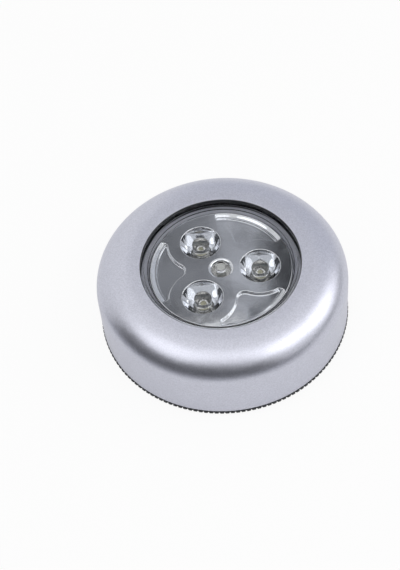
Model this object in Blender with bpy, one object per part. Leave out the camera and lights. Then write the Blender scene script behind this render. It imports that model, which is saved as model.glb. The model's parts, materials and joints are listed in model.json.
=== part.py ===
"""Round stick-on puck light: press the clear cover to light three LEDs, twist the base off for the cells.

The light stands on its adhesive pad. Its origin is the middle of the pad's lower face, +Z points out of the
clear cover, and the three AAA cells lie along X. Every size is in metres.
"""

from math import acos, atan2, cos, degrees, hypot, pi, radians, sin, sqrt, tau

import bmesh
import bpy
from mathutils import Vector

MM = 0.001

# Clearances and cutters
seat_gap = 0.15 * MM
slide_gap = 0.3 * MM
overrun = 1.0 * MM
bite = 0.4 * MM
weld = 0.001 * MM

# Adhesive pad under the base
pad_radius = 16.0 * MM
pad_thickness = 0.85 * MM
pad_corner = 0.2 * MM

# AAA cells
cell_count = 3
cell_diameter = 10.4 * MM
cell_length = 44.5 * MM
cell_edge = 0.5 * MM
cell_nub_diameter = 3.8 * MM
cell_nub_length = 0.9 * MM
cell_clearance = 0.15 * MM

# Battery contacts and their coil springs
contact_thickness = 0.4 * MM
contact_width = 7.6 * MM
contact_height = 7.0 * MM
tab_width = 2.6 * MM
spring_length = 3.0 * MM
spring_turns = 3
spring_wire = 0.5 * MM
spring_foot_radius = 3.4 * MM
spring_tip_radius = 1.7 * MM

# Battery chassis
chassis_wall = 0.8 * MM
chassis_rib = 0.6 * MM
chassis_plate = 1.2 * MM
chassis_foot_gap = 0.35 * MM
window_width = 5.0 * MM

# Base cover with its gripping teeth, bayonet lugs and keyholes
plate_thickness = 0.6 * MM
tooth_count = 150
tooth_depth = 0.8 * MM
tooth_proud = 0.2 * MM
tooth_tip_share = 0.62
spigot_height = 3.6 * MM
spigot_wall = 1.0 * MM
lug_reach = 0.9 * MM
lug_height = 1.0 * MM
lug_span = 16.0
ledge_span = 18.0
ledge_height = 1.2 * MM
stop_span = 3.0
stop_slack = 0.6
bayonet_count = 3
bayonet_phase = 30.0
unlock_angle = 24.0
keyhole_head_radius = 3.7 * MM
keyhole_slot_width = 3.8 * MM
keyhole_slot_length = 5.5 * MM
keyhole_margin = 1.2 * MM

# Housing
housing_wall = 1.6 * MM
housing_draft = 0.1 * MM
housing_edge = 0.35 * MM
shoulder_width = 10.0 * MM
shoulder_height = 7.6 * MM
lip_thickness = 1.6 * MM
lip_round = 0.5 * MM

# Circuit board
board_thickness = 1.0 * MM
board_margin = 0.4 * MM
board_lift = 0.7 * MM
lead_hole_radius = 0.5 * MM
lead_width = 0.5 * MM
lead_spacing = 2.54 * MM

# Straw-hat LEDs
led_count = 3
led_radius = 2.4 * MM
led_height = 4.8 * MM
led_flange_width = 0.4 * MM
led_flange_height = 0.8 * MM
led_dome_height = 0.9 * MM

# Bright reflector with its cups and leaf-shaped pockets
cup_middle_margin = 5.1 * MM
cup_rim_margin = 3.55 * MM
cup_depth = 4.3 * MM
cup_hole_gap = 0.15 * MM
cup_bevel = 0.15 * MM
reflector_wall = 1.0 * MM
reflector_flange_width = 3.2 * MM
reflector_flange_thickness = 0.8 * MM
pocket_depth = 0.9 * MM
pocket_neck = 0.2 * MM
pocket_rim = 1.95 * MM
pocket_draft = 0.12 * MM
pocket_wall = 0.7 * MM
pocket_tip_radius = 1.6 * MM
pocket_corner_radius = 0.8 * MM
centre_hole_radius = 2.9 * MM
centre_bevel = 0.6 * MM

# Clear pressing cover
lens_radius = 21.15 * MM
lens_gap = 0.8 * MM
lens_thickness = 1.2 * MM
lens_wall = 1.0 * MM
lens_edge = 0.7 * MM
lens_recess = 1.0 * MM
lens_travel = 0.85 * MM
lens_stop_gap = 0.2 * MM
lens_flange_width = 2.1 * MM
lens_flange_height = 1.0 * MM
lens_post_radius = 1.5 * MM

# Click switch on the board
switch_width = 5.8 * MM
switch_wall = 0.6 * MM
switch_floor = 0.5 * MM
switch_body_height = 3.25 * MM
switch_cover_thickness = 0.4 * MM
plunger_width = 2.4 * MM
plunger_flange_width = 4.0 * MM
plunger_flange_height = 0.5 * MM
plunger_height = 2.2 * MM
switch_pin_width = 0.5 * MM
switch_pin_pitch = 2.0 * MM
switch_pin_row = 4.0 * MM
return_spring_radius = 1.2 * MM
return_spring_wire = 0.3 * MM
return_spring_turns = 3

# Resistor
resistor_radius = 0.8 * MM
resistor_length = 3.6 * MM
resistor_neck = 0.2 * MM
resistor_lead_radius = 0.25 * MM
resistor_lead_reach = 1.4 * MM

# Screws that hold the chassis up into the housing's posts
screw_angles = (58.0, 122.0, 238.0, 302.0)
screw_radius = 1.0 * MM
screw_head_radius = 1.9 * MM
screw_head_height = 1.4 * MM
screw_reach = 6.0 * MM
post_radius = 2.2 * MM
pilot_gap = 0.15 * MM

# Leads from the contacts to the board
wire_diameter = 1.0 * MM
wire_notch_width = 2.4 * MM
wire_notch_height = 2.6 * MM
wire_pad_inset = 2.4 * MM

# Facets
round_steps = 60
lens_steps = 54
small_steps = 18
pin_steps = 8
spring_steps = 8
shoulder_steps = 7
inner_shoulder_steps = 4
pocket_steps = 6
tip_steps = 2
cup_steps = 5
bowl_sides = 20
post_sides = 12

# Heights, stacked from the surface that the light stands on
base_bottom = pad_thickness + seat_gap
base_floor = base_bottom + plate_thickness
cell_axis = base_floor + seat_gap + cell_diameter / 2
cell_top = cell_axis + cell_diameter / 2
board_bottom = cell_top + board_lift
board_top = board_bottom + board_thickness
chassis_top = board_bottom - seat_gap
chassis_under = chassis_top - chassis_plate
led_seat = board_top + seat_gap
cup_floor = led_seat + led_flange_height + seat_gap
reflector_face = cup_floor + cup_depth
lens_under = reflector_face + lens_travel + lens_stop_gap
lens_top = lens_under + lens_thickness
rim_height = lens_top + lens_recess
lip_under = rim_height - lip_thickness
lens_flange_top = lip_under - lens_stop_gap
lens_flange_bottom = lens_flange_top - lens_flange_height
reflector_flange_top = lens_flange_bottom - lens_travel - slide_gap
reflector_flange_bottom = reflector_flange_top - reflector_flange_thickness
shoulder_foot = rim_height - shoulder_height
skirt_bottom = base_floor + seat_gap
switch_seat = board_top + seat_gap
switch_body_top = switch_seat + switch_body_height
plunger_flange_top = switch_body_top - seat_gap
plunger_bottom = plunger_flange_top - plunger_flange_height
plunger_top = plunger_bottom + plunger_height

# Plan sizes, worked out from the cells outwards
cell_radius = cell_diameter / 2
cell_pitch = cell_diameter + 2 * cell_clearance + chassis_rib
bay_half_width = cell_pitch + cell_radius + cell_clearance
box_half_width = bay_half_width + chassis_wall
contact_room = contact_thickness + 2 * seat_gap
bay_half_length = (cell_length + spring_length + 2 * contact_room + seat_gap) / 2
box_half_length = bay_half_length + chassis_wall
spigot_inner = hypot(box_half_length, box_half_width) + slide_gap
spigot_outer = spigot_inner + spigot_wall
housing_inner = spigot_outer + lug_reach + slide_gap
housing_outer = housing_inner + housing_wall
tooth_tip_radius = housing_outer + tooth_proud
ledge_inner = spigot_outer + slide_gap
chassis_radius = ledge_inner - slide_gap
opening_radius = lens_radius + lens_gap
lens_inner = lens_radius - lens_wall
lens_flange_radius = lens_radius + lens_flange_width
reflector_radius = lens_inner - slide_gap
reflector_inner = reflector_radius - reflector_wall
reflector_flange_radius = reflector_radius + reflector_flange_width
board_radius = reflector_inner - board_margin
cup_radius = (reflector_radius - cup_middle_margin - cup_rim_margin) / 2
cup_hole_radius = led_radius + cup_hole_gap
led_circle_radius = cup_middle_margin + cup_radius
led_flange_radius = led_radius + led_flange_width
post_circle = (lens_flange_radius + chassis_radius) / 2
keyhole_offset = box_half_width + keyhole_head_radius + keyhole_margin

SILVER = ("silver paint", (0.55, 0.56, 0.6), 0.34, 0.75)
CLEAR = ("clear plastic", (0.93, 0.95, 0.97), 0.06, 0.0)
CHROME = ("bright metallising", (0.86, 0.87, 0.9), 0.05, 1.0)
BLACK = ("black plastic", (0.035, 0.037, 0.042), 0.5, 0.0)
FOAM = ("white foam", (0.82, 0.82, 0.8), 0.95, 0.0)
BOARD = ("green board", (0.05, 0.22, 0.1), 0.45, 0.0)
STEEL = ("plated steel", (0.68, 0.67, 0.64), 0.28, 1.0)
CELL = ("cell jacket", (0.1, 0.13, 0.2), 0.35, 0.2)
RED = ("red insulation", (0.6, 0.03, 0.03), 0.5, 0.0)
TAN = ("resistor coat", (0.62, 0.48, 0.3), 0.5, 0.0)


def clear_scene():
    for old in list(bpy.data.objects):
        bpy.data.objects.remove(old)


def finish_of(look):
    """The material of that look, made the first time that it is asked for."""
    name, colour, roughness, metallic = look
    found = bpy.data.materials.get(name)
    if found:
        return found
    made = bpy.data.materials.new(name)
    made.use_nodes = True
    shader = made.node_tree.nodes["Principled BSDF"]
    shader.inputs["Base Color"].default_value = (*colour, 1.0)
    shader.inputs["Roughness"].default_value = roughness
    shader.inputs["Metallic"].default_value = metallic
    made.diffuse_color = (*colour, 1.0)
    return made


def frame(name, parent=None, height=0.0):
    """An empty that the pieces of one moving body hang on."""
    empty = bpy.data.objects.new(name, None)
    bpy.context.scene.collection.objects.link(empty)
    empty.location = (0.0, 0.0, height)
    empty.parent = parent
    return empty


def piece_of(name, bm, look=None):
    """An object made from a bmesh, with its faces pointing out."""
    bmesh.ops.recalc_face_normals(bm, faces=bm.faces)
    mesh = bpy.data.meshes.new(name)
    bm.to_mesh(mesh)
    bm.free()
    made = bpy.data.objects.new(name, mesh)
    bpy.context.scene.collection.objects.link(made)
    if look:
        mesh.materials.append(finish_of(look))
    return made


def turned(name, outline, steps, look=None):
    """A closed outline of (radius, height) points spun round Z."""
    bm = bmesh.new()
    corners = [bm.verts.new((r, 0.0, z)) for r, z in outline]
    edges = [bm.edges.new((a, b)) for a, b in zip(corners, corners[1:] + corners[:1])]
    bmesh.ops.spin(
        bm,
        geom=corners + edges,
        cent=(0.0, 0.0, 0.0),
        axis=(0.0, 0.0, 1.0),
        angle=tau,
        steps=steps,
        use_merge=True,
    )
    bmesh.ops.remove_doubles(bm, verts=bm.verts, dist=weld)
    bmesh.ops.dissolve_degenerate(bm, edges=bm.edges, dist=weld)
    return piece_of(name, bm, look)


def lofted(name, lower, lower_height, upper, upper_height, look=None):
    """A solid between two outlines that have the same number of (x, y) points."""
    bm = bmesh.new()
    foot = [bm.verts.new((x, y, lower_height)) for x, y in lower]
    head = [bm.verts.new((x, y, upper_height)) for x, y in upper]
    bm.faces.new(foot)
    bm.faces.new(head)
    for k in range(len(foot)):
        after = (k + 1) % len(foot)
        bm.faces.new((foot[k], foot[after], head[after], head[k]))
    return piece_of(name, bm, look)


def extruded(name, outline, bottom, top, look=None):
    return lofted(name, outline, bottom, outline, top, look)


def block(name, low, high, look=None):
    """A box between two opposite corners."""
    (x0, y0, z0), (x1, y1, z1) = low, high
    return extruded(name, [(x0, y0), (x1, y0), (x1, y1), (x0, y1)], z0, z1, look)


def arc(radius, start, end, steps, centre=(0.0, 0.0)):
    """Points on an arc from start to end, in degrees, both ends included."""
    turn = [radians(start + (end - start) * k / steps) for k in range(steps + 1)]
    return [(centre[0] + radius * cos(a), centre[1] + radius * sin(a)) for a in turn]


def sector(name, inner, outer, bottom, top, start, end, steps):
    """A curved block between two radii and two angles in degrees."""
    outline = arc(outer, start, end, steps) + arc(inner, end, start, steps)
    return extruded(name, outline, bottom, top)


def disc(name, radius, bottom, top, steps, look=None):
    return turned(name, [(0.0, bottom), (radius, bottom), (radius, top), (0.0, top)], steps, look)


def boolean(target, tool, operation):
    """Joins the tool to the target or cuts it out, and removes the tool."""
    modifier = target.modifiers.new(operation.lower(), "BOOLEAN")
    modifier.operation = operation
    modifier.solver = "EXACT"
    modifier.object = tool
    bpy.context.view_layer.update()
    graph = bpy.context.evaluated_depsgraph_get()
    shaped = bpy.data.meshes.new_from_object(target.evaluated_get(graph))
    target.modifiers.clear()
    target.data = shaped
    bpy.data.objects.remove(tool)


def join(target, tool):
    boolean(target, tool, "UNION")


def cut(target, tool):
    boolean(target, tool, "DIFFERENCE")


def smooth(piece, angle=35.0):
    """Shades the round faces of a piece smooth."""
    piece.data.shade_smooth()
    piece.data.set_sharp_from_angle(angle=radians(angle))


def place(piece, parent, location=(0.0, 0.0, 0.0), turn=(0.0, 0.0, 0.0)):
    """Hangs a piece on its body's frame at a place and a turn in degrees."""
    piece.parent = parent
    piece.location = Vector(location) - parent.matrix_world.translation
    piece.rotation_euler = [radians(a) for a in turn]
    smooth(piece)
    return piece


def coil(name, foot_radius, tip_radius, length, turns, wire, points_per_turn, look):
    """A spring of round wire that climbs +Z from its foot to its tip, as one open tube."""
    curve = bpy.data.curves.new(name, "CURVE")
    curve.dimensions = "3D"
    curve.bevel_depth = wire / 2
    curve.bevel_resolution = 1
    curve.use_fill_caps = True
    count = turns * points_per_turn + 1
    spline = curve.splines.new("POLY")
    spline.points.add(count - 1)
    for k, point in enumerate(spline.points):
        share = k / (count - 1)
        radius = foot_radius + (tip_radius - foot_radius) * share
        turn = tau * turns * share
        height = wire / 2 + (length - wire) * share
        point.co = (radius * cos(turn), radius * sin(turn), height, 1.0)
    made = bpy.data.objects.new(name, curve)
    bpy.context.scene.collection.objects.link(made)
    curve.materials.append(finish_of(look))
    return made


def tube(name, route, diameter, look):
    """A lead of round section through a short hand-chosen route, smoothed between its points."""
    curve = bpy.data.curves.new(name, "CURVE")
    curve.dimensions = "3D"
    curve.bevel_depth = diameter / 2
    curve.bevel_resolution = 2
    curve.use_fill_caps = True
    ends = [route[0] * 2 - route[1], *route, route[-1] * 2 - route[-2]]
    places = []
    steps = 3
    for k in range(1, len(ends) - 2):
        before, start, end, after = ends[k - 1 : k + 3]
        for j in range(steps):
            t = j / steps
            bend = (start * 2) + (end - before) * t
            bend += (before * 2 - start * 5 + end * 4 - after) * t * t
            bend += (start * 3 - before - end * 3 + after) * t * t * t
            places.append(bend / 2)
    places.append(route[-1])
    spline = curve.splines.new("POLY")
    spline.points.add(len(places) - 1)
    for point, spot in zip(spline.points, places):
        point.co = (*spot, 1.0)
    made = bpy.data.objects.new(name, curve)
    bpy.context.scene.collection.objects.link(made)
    curve.materials.append(finish_of(look))
    return made


def polar(radius, degrees):
    return radius * cos(radians(degrees)), radius * sin(radians(degrees))


def bearing(start, end):
    """The direction from one point to another, in degrees."""
    return degrees(atan2(end[1] - start[1], end[0] - start[0]))


def led_angles():
    return [360.0 * k / led_count for k in range(led_count)]


def screw_places():
    return [polar(post_circle, angle) for angle in screw_angles]


def make_adhesive_pad(base):
    low, high = 0.0, pad_thickness
    outline = [
        (0.0, low),
        (pad_radius - pad_corner, low),
        (pad_radius, low + pad_corner),
        (pad_radius, high),
        (0.0, high),
    ]
    return place(turned("adhesive_pad", outline, round_steps, FOAM), base)


def toothed_outline():
    """The base cover's edge: flat-topped teeth with a V groove between each two."""
    root = tooth_tip_radius - tooth_depth
    points = []
    for k in range(tooth_count):
        middle = 360.0 * k / tooth_count
        half_tip = tooth_tip_share * 180.0 / tooth_count
        points.append(polar(tooth_tip_radius, middle - half_tip))
        points.append(polar(tooth_tip_radius, middle + half_tip))
        points.append(polar(root, middle + 180.0 / tooth_count))
    return points


def keyhole_cutter(side):
    """A keyhole through the base: a round hole for a screw's head, and a slot along +X for its neck."""
    x = -keyhole_slot_length / 2
    y = side * keyhole_offset
    bottom, top = base_bottom - overrun, base_floor + overrun
    hole = disc("keyhole head", keyhole_head_radius, bottom, top, small_steps)
    hole.location = (x, y, 0.0)
    half = keyhole_slot_width / 2
    slot_end = x + keyhole_slot_length
    outline = [(x, y - half)] + arc(half, -90.0, 90.0, pin_steps, (slot_end, y)) + [(x, y + half)]
    join(hole, extruded("keyhole slot", outline, bottom, top))
    return hole


def make_base_cover(base):
    cover = extruded("base_cover", toothed_outline(), base_bottom, base_floor, BLACK)
    spigot_top = base_floor + spigot_height
    ring = [
        (spigot_inner, base_floor - bite),
        (spigot_outer, base_floor - bite),
        (spigot_outer, spigot_top),
        (spigot_inner, spigot_top),
    ]
    join(cover, turned("spigot", ring, round_steps))
    for k in range(bayonet_count):
        middle = bayonet_phase + 360.0 * k / bayonet_count
        start, end = middle - lug_span / 2, middle + lug_span / 2
        inner, outer = spigot_outer - bite, spigot_outer + lug_reach
        join(cover, sector("lug", inner, outer, spigot_top - lug_height, spigot_top, start, end, 4))
    for side in (-1, 1):
        cut(cover, keyhole_cutter(side))
    return place(cover, base)


def shoulder(centre_radius, width, height, steps):
    """Points of the rounded shoulder from the wall up to the flat top, as a quarter ellipse."""
    turns = [pi / 2 * k / steps for k in range(steps + 1)]
    return [(centre_radius + width * cos(a), shoulder_foot + height * sin(a)) for a in turns]


def housing_outline():
    """The housing's wall section: out and up the skirt, over the shoulder, down the lip and back inside."""
    wall_top = housing_outer - housing_draft
    centre = wall_top - shoulder_width
    inner_top = wall_top - housing_wall
    outside = [(housing_outer - housing_edge, skirt_bottom), (housing_outer, skirt_bottom + housing_edge)]
    outside += shoulder(centre, shoulder_width, shoulder_height, shoulder_steps)
    lip_middle = (opening_radius + lip_round, rim_height - lip_round)
    outside += arc(lip_round, 90.0, 180.0, 3, lip_middle)
    inside = [(opening_radius, lip_under)]
    under = shoulder(centre, inner_top - centre, shoulder_height - lip_thickness, inner_shoulder_steps)
    inside += reversed(under)
    inside += [(housing_inner, shoulder_foot - housing_wall), (housing_inner, skirt_bottom)]
    return outside + inside


def make_housing(lamp):
    housing = turned("housing", housing_outline(), round_steps, SILVER)
    post_bottom, post_top = chassis_top + seat_gap, lip_under + bite
    for x, y in screw_places():
        post = disc("post", post_radius, post_bottom, post_top, post_sides)
        post.location = (x, y, 0.0)
        join(housing, post)
    pilot_top = post_bottom + screw_reach + seat_gap
    for x, y in screw_places():
        pilot = disc("pilot", screw_radius + pilot_gap, post_bottom - overrun, pilot_top, pin_steps)
        pilot.location = (x, y, 0.0)
        cut(housing, pilot)
    lug_under = base_floor + spigot_height - lug_height
    ledge_top = lug_under - seat_gap
    outer = housing_inner + bite
    for k in range(bayonet_count):
        middle = bayonet_phase + 360.0 * k / bayonet_count
        stop = middle + lug_span / 2 + stop_slack
        start, end = middle - ledge_span / 2, stop + stop_span
        bottom = ledge_top - ledge_height
        ledge = sector("ledge", ledge_inner, outer, bottom, ledge_top, start, end, 5)
        join(ledge, sector("stop", ledge_inner, outer, bottom, lug_under + lug_height, stop, end, 1))
        join(housing, ledge)
    return place(housing, lamp)


def make_chassis(lamp):
    """The black inner frame: a round deck with three open bays for the cells hanging under it."""
    chassis = disc("battery_chassis", chassis_radius, chassis_under, chassis_top, round_steps, BLACK)
    foot = base_floor + chassis_foot_gap
    joint = chassis_under + bite
    x, y = box_half_length, box_half_width
    box = block("box", (-x, -y, foot), (x, y, joint))
    x, y = bay_half_length, bay_half_width
    cut(box, block("bay", (-x, -y, foot - overrun), (x, y, chassis_under)))
    join(chassis, box)
    for side in (-1, 1):
        middle = side * cell_pitch / 2
        end = bay_half_length - contact_room
        low = (-end, middle - chassis_rib / 2, cell_axis - cell_radius / 2)
        high = (end, middle + chassis_rib / 2, joint)
        join(chassis, block("rib", low, high))
    for k in range(cell_count):
        y = (1 - k) * cell_pitch
        reach = cell_radius + cell_clearance
        channel = disc("channel", reach, -bay_half_length, bay_half_length, small_steps)
        channel.location = (0.0, y, cell_axis)
        channel.rotation_euler = (0.0, pi / 2, 0.0)
        cut(chassis, channel)
        low = (-bay_half_length, y - window_width / 2, cell_axis)
        high = (bay_half_length, y + window_width / 2, chassis_top + overrun)
        cut(chassis, block("window", low, high))
    for x, y in screw_places():
        bottom, top = chassis_under - overrun, chassis_top + overrun
        hole = disc("hole", screw_radius + pilot_gap, bottom, top, pin_steps)
        hole.location = (x, y, 0.0)
        cut(chassis, hole)
    return place(chassis, lamp)


def tab_faces():
    """Where a contact's two faces lie along X, at the cells' +X end."""
    outer = bay_half_length - seat_gap
    return outer - contact_thickness, outer


def make_contact(name, lamp, end, first, last, tab):
    """A contact plate at one end of the bays, from cell row first to row last, with or without a tab."""
    inner, outer = tab_faces()
    x0, x1 = (inner, outer) if end > 0 else (-outer, -inner)
    rows = sorted(((1 - first) * cell_pitch, (1 - last) * cell_pitch))
    low = (x0, rows[0] - contact_width / 2, cell_axis - contact_height / 2)
    high = (x1, rows[1] + contact_width / 2, cell_axis + contact_height / 2)
    plate = block(name, low, high, STEEL)
    if tab:
        middle = rows[0]
        low = (x0, middle - tab_width / 2, cell_axis)
        high = (x1, middle + tab_width / 2, board_top)
        join(plate, block("tab", low, high))
    return place(plate, lamp)


def make_cell(name, lamp, row):
    """One AAA cell. Its plus end faces the contact plate, and the other end leaves room for the spring."""
    can = cell_length - cell_nub_length
    outline = [
        (0.0, 0.0),
        (cell_radius - cell_edge, 0.0),
        (cell_radius, cell_edge),
        (cell_radius, can - cell_edge),
        (cell_radius - cell_edge, can),
        (cell_nub_diameter / 2, can),
        (cell_nub_diameter / 2, cell_length),
        (0.0, cell_length),
    ]
    cell = turned(name, outline, small_steps, CELL)
    end = plus_end(row)
    inner, _ = tab_faces()
    start = inner - seat_gap - cell_length
    spot = (end * start, (1 - row) * cell_pitch, cell_axis)
    return place(cell, lamp, spot, (0.0, end * 90.0, 0.0))


def plus_end(row):
    """Neighbouring cells point opposite ways, as they are wired in series."""
    return 1 if row % 2 == 0 else -1


def make_battery_spring(name, lamp, row):
    spring = coil(
        name,
        spring_foot_radius,
        spring_tip_radius,
        spring_length,
        spring_turns,
        spring_wire,
        spring_steps,
        STEEL,
    )
    end = -plus_end(row)
    inner, _ = tab_faces()
    spot = (end * (inner - seat_gap), (1 - row) * cell_pitch, cell_axis)
    place_curve(spring, lamp, spot, (0.0, -end * 90.0, 0.0))
    return spring


def place_curve(curve, parent, location=(0.0, 0.0, 0.0), turn=(0.0, 0.0, 0.0)):
    curve.parent = parent
    curve.location = Vector(location) - parent.matrix_world.translation
    curve.rotation_euler = [radians(a) for a in turn]


def lead_places(angle):
    """Where an LED's two leads stand, side by side across the radius."""
    x, y = polar(led_circle_radius, angle)
    dx, dy = polar(lead_spacing / 2, angle + 90.0)
    return [(x + dx, y + dy), (x - dx, y - dy)]


def switch_pin_places():
    return [(x * switch_pin_pitch, y * switch_pin_row / 2) for x in (-1, 0, 1) for y in (-1, 1)]


def make_board(lamp):
    board = disc("circuit_board", board_radius, board_bottom, board_top, round_steps, BOARD)
    holes = [spot for angle in led_angles() for spot in lead_places(angle)] + switch_pin_places()
    for x, y in holes:
        hole = disc("hole", lead_hole_radius, board_bottom - overrun, board_top + overrun, pin_steps)
        hole.location = (x, y, 0.0)
        cut(board, hole)
    return place(board, lamp)


def add_pins(piece, spots, width, bottom, top):
    """Joins square pins to a piece at these places."""
    half = width / 2
    for x, y in spots:
        join(piece, block("pin", (x - half, y - half, bottom), (x + half, y + half, top)))


def make_led(name, lamp, angle):
    """A straw-hat LED: a flange, a short round body, a shallow dome and two leads down through the board."""
    dome_foot = led_height - led_dome_height
    outline = [
        (0.0, 0.0),
        (led_flange_radius, 0.0),
        (led_flange_radius, led_flange_height),
        (led_radius, led_flange_height),
    ]
    turns = [radians(90.0 * k / 4) for k in range(5)]
    outline += [(led_radius * cos(a), dome_foot + led_dome_height * sin(a)) for a in turns]
    led = turned(name, outline, small_steps, CLEAR)
    spots = [(0.0, side * lead_spacing / 2) for side in (1, -1)]
    add_pins(led, spots, lead_width, board_bottom - led_seat, led_flange_height / 2)
    x, y = polar(led_circle_radius, angle)
    return place(led, lamp, (x, y, led_seat), (0.0, 0.0, angle))


def cup_outline(offset, bottom, top_extra):
    """A cup's bowl as a solid of revolution, grown by an offset, from its floor to above the face."""
    points = [(0.0, bottom)]
    for k in range(cup_steps + 1):
        share = k / cup_steps
        square = cup_hole_radius**2 + (cup_radius**2 - cup_hole_radius**2) * share
        points.append((sqrt(square) + offset, cup_floor + cup_depth * share))
    points[1] = (cup_hole_radius + offset, bottom)
    if top_extra:
        points[-1] = (cup_radius + offset, reflector_face - cup_bevel)
        points.append((cup_radius + offset + cup_bevel + top_extra, reflector_face + top_extra))
        points.append((0.0, reflector_face + top_extra))
    else:
        points[-1] = (cup_radius + offset, reflector_face - bite)
        points.append((0.0, reflector_face - bite))
    return points


def pocket_outline(inset):
    """A leaf between two cups: sides that follow the cups, an outer arc, and a rounded tip and corners."""
    half_turn = 180.0 / led_count
    side_radius = led_circle_radius * sin(radians(half_turn)) - pocket_neck / 2 + inset
    rim_radius = reflector_radius - pocket_rim - inset
    tip_radius = pocket_tip_radius - inset
    corner_radius = pocket_corner_radius - inset
    cup = polar(led_circle_radius, half_turn)
    tip = (cup[0] + sqrt((side_radius + tip_radius) ** 2 - cup[1] ** 2), 0.0)
    reach, span = rim_radius - corner_radius, side_radius + corner_radius
    cosine = (reach**2 + led_circle_radius**2 - span**2) / (2 * reach * led_circle_radius)
    corner_angle = half_turn - degrees(acos(cosine))
    corner = polar(reach, corner_angle)
    half = arc(tip_radius, 180.0, bearing(tip, cup), tip_steps, tip)
    half += arc(side_radius, bearing(cup, tip), bearing(cup, corner), pocket_steps, cup)[1:]
    half += arc(corner_radius, bearing(corner, cup), corner_angle, tip_steps, corner)[1:]
    half += arc(rim_radius, corner_angle, 0.0, pocket_steps // 2)[1:]
    return half + [(u, -v) for u, v in reversed(half[1:-1])]


def pocket(name, inset_top, inset_bottom, bottom, top):
    return lofted(name, pocket_outline(inset_bottom), bottom, pocket_outline(inset_top), top)


def make_reflector(lamp):
    """The bright moulding under the cover: three cups, three leaf pockets, a middle hole and a flange."""
    skirt_foot = chassis_top + seat_gap
    under = reflector_face - reflector_wall
    outline = [
        (0.0, under),
        (reflector_inner, under),
        (reflector_inner, skirt_foot),
        (reflector_radius, skirt_foot),
        (reflector_radius, reflector_flange_bottom),
        (reflector_flange_radius, reflector_flange_bottom),
        (reflector_flange_radius, reflector_flange_top),
        (reflector_radius, reflector_flange_top),
        (reflector_radius, reflector_face),
        (0.0, reflector_face),
    ]
    reflector = turned("reflector", outline, lens_steps, CHROME)
    half_turn = 180.0 / led_count
    for angle in led_angles():
        x, y = polar(led_circle_radius, angle)
        bowl = turned("bowl", cup_outline(reflector_wall, cup_floor, 0.0), bowl_sides)
        bowl.location = (x, y, 0.0)
        join(reflector, bowl)
        floor = reflector_face - pocket_depth - pocket_wall
        shell = pocket("pocket shell", -pocket_wall, -pocket_wall, floor, under + bite)
        shell.rotation_euler = (0.0, 0.0, radians(angle + half_turn))
        join(reflector, shell)
    for angle in led_angles():
        x, y = polar(led_circle_radius, angle)
        bowl = turned("bowl", cup_outline(0.0, cup_floor - overrun, overrun), bowl_sides)
        bowl.location = (x, y, 0.0)
        cut(reflector, bowl)
        steep = pocket_draft * (pocket_depth + overrun) / pocket_depth
        inset = pocket_draft - steep
        bottom, top = reflector_face - pocket_depth, reflector_face + overrun
        hollow = pocket("hollow", inset, pocket_draft, bottom, top)
        hollow.rotation_euler = (0.0, 0.0, radians(angle + half_turn))
        cut(reflector, hollow)
    middle = [
        (0.0, under - overrun),
        (centre_hole_radius, under - overrun),
        (centre_hole_radius, reflector_face - centre_bevel),
        (centre_hole_radius + centre_bevel + overrun, reflector_face + overrun),
        (0.0, reflector_face + overrun),
    ]
    cut(reflector, turned("middle hole", middle, small_steps))
    for end in (1, -1):
        notch_top = skirt_foot + wire_notch_height
        half = wire_notch_width / 2
        low = (reflector_inner - overrun, -half, skirt_foot - overrun)
        notch = block("notch", low, (reflector_radius + overrun, half, notch_top))
        notch.rotation_euler = (0.0, 0.0, radians(wire_angle(end)))
        cut(reflector, notch)
    return place(reflector, lamp)


def wire_angle(end):
    """The bearing at which a lead passes under the reflector's skirt."""
    inner, _ = tab_faces()
    return degrees(atan2(end * cell_pitch, end * inner))


def make_wire(name, lamp, end, look):
    """A lead from a contact's tab, over the deck, under the skirt and onto the board."""
    inner, _ = tab_faces()
    radius = wire_diameter / 2
    turn = radians(wire_angle(end))
    start_reach = hypot(inner, cell_pitch) - radius - 2 * seat_gap
    deck = chassis_top + seat_gap + radius
    crest = board_top + seat_gap + radius
    reaches = (start_reach, (start_reach + reflector_radius) / 2, reflector_radius - reflector_wall / 2)
    reaches += (board_radius - wire_pad_inset,)
    heights = (deck + radius, (deck + crest) / 2 + radius / 2, crest + radius / 2, crest)
    route = [Vector((r * cos(turn), r * sin(turn), z)) for r, z in zip(reaches, heights)]
    wire = tube(name, route, wire_diameter, look)
    place_curve(wire, lamp)
    return wire


def lens_outline():
    """The cover's section: a flat disc with a rounded rim, a short skirt, a flange and a middle post."""
    post_foot = plunger_top + seat_gap
    rim = arc(lens_edge, 0.0, 90.0, 4, (lens_radius - lens_edge, lens_top - lens_edge))
    return [
        (0.0, post_foot),
        (lens_post_radius, post_foot),
        (lens_post_radius, lens_under),
        (lens_inner, lens_under),
        (lens_inner, lens_flange_bottom),
        (lens_flange_radius, lens_flange_bottom),
        (lens_flange_radius, lens_flange_top),
        (lens_radius, lens_flange_top),
        *rim,
        (0.0, lens_top),
    ]


def make_lens(lens):
    return place(turned("lens_cover", lens_outline(), lens_steps, CLEAR), lens, (0.0, 0.0, 0.0))


def square(half, bottom, top, name="box"):
    return block(name, (-half, -half, bottom), (half, half, top))


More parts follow.
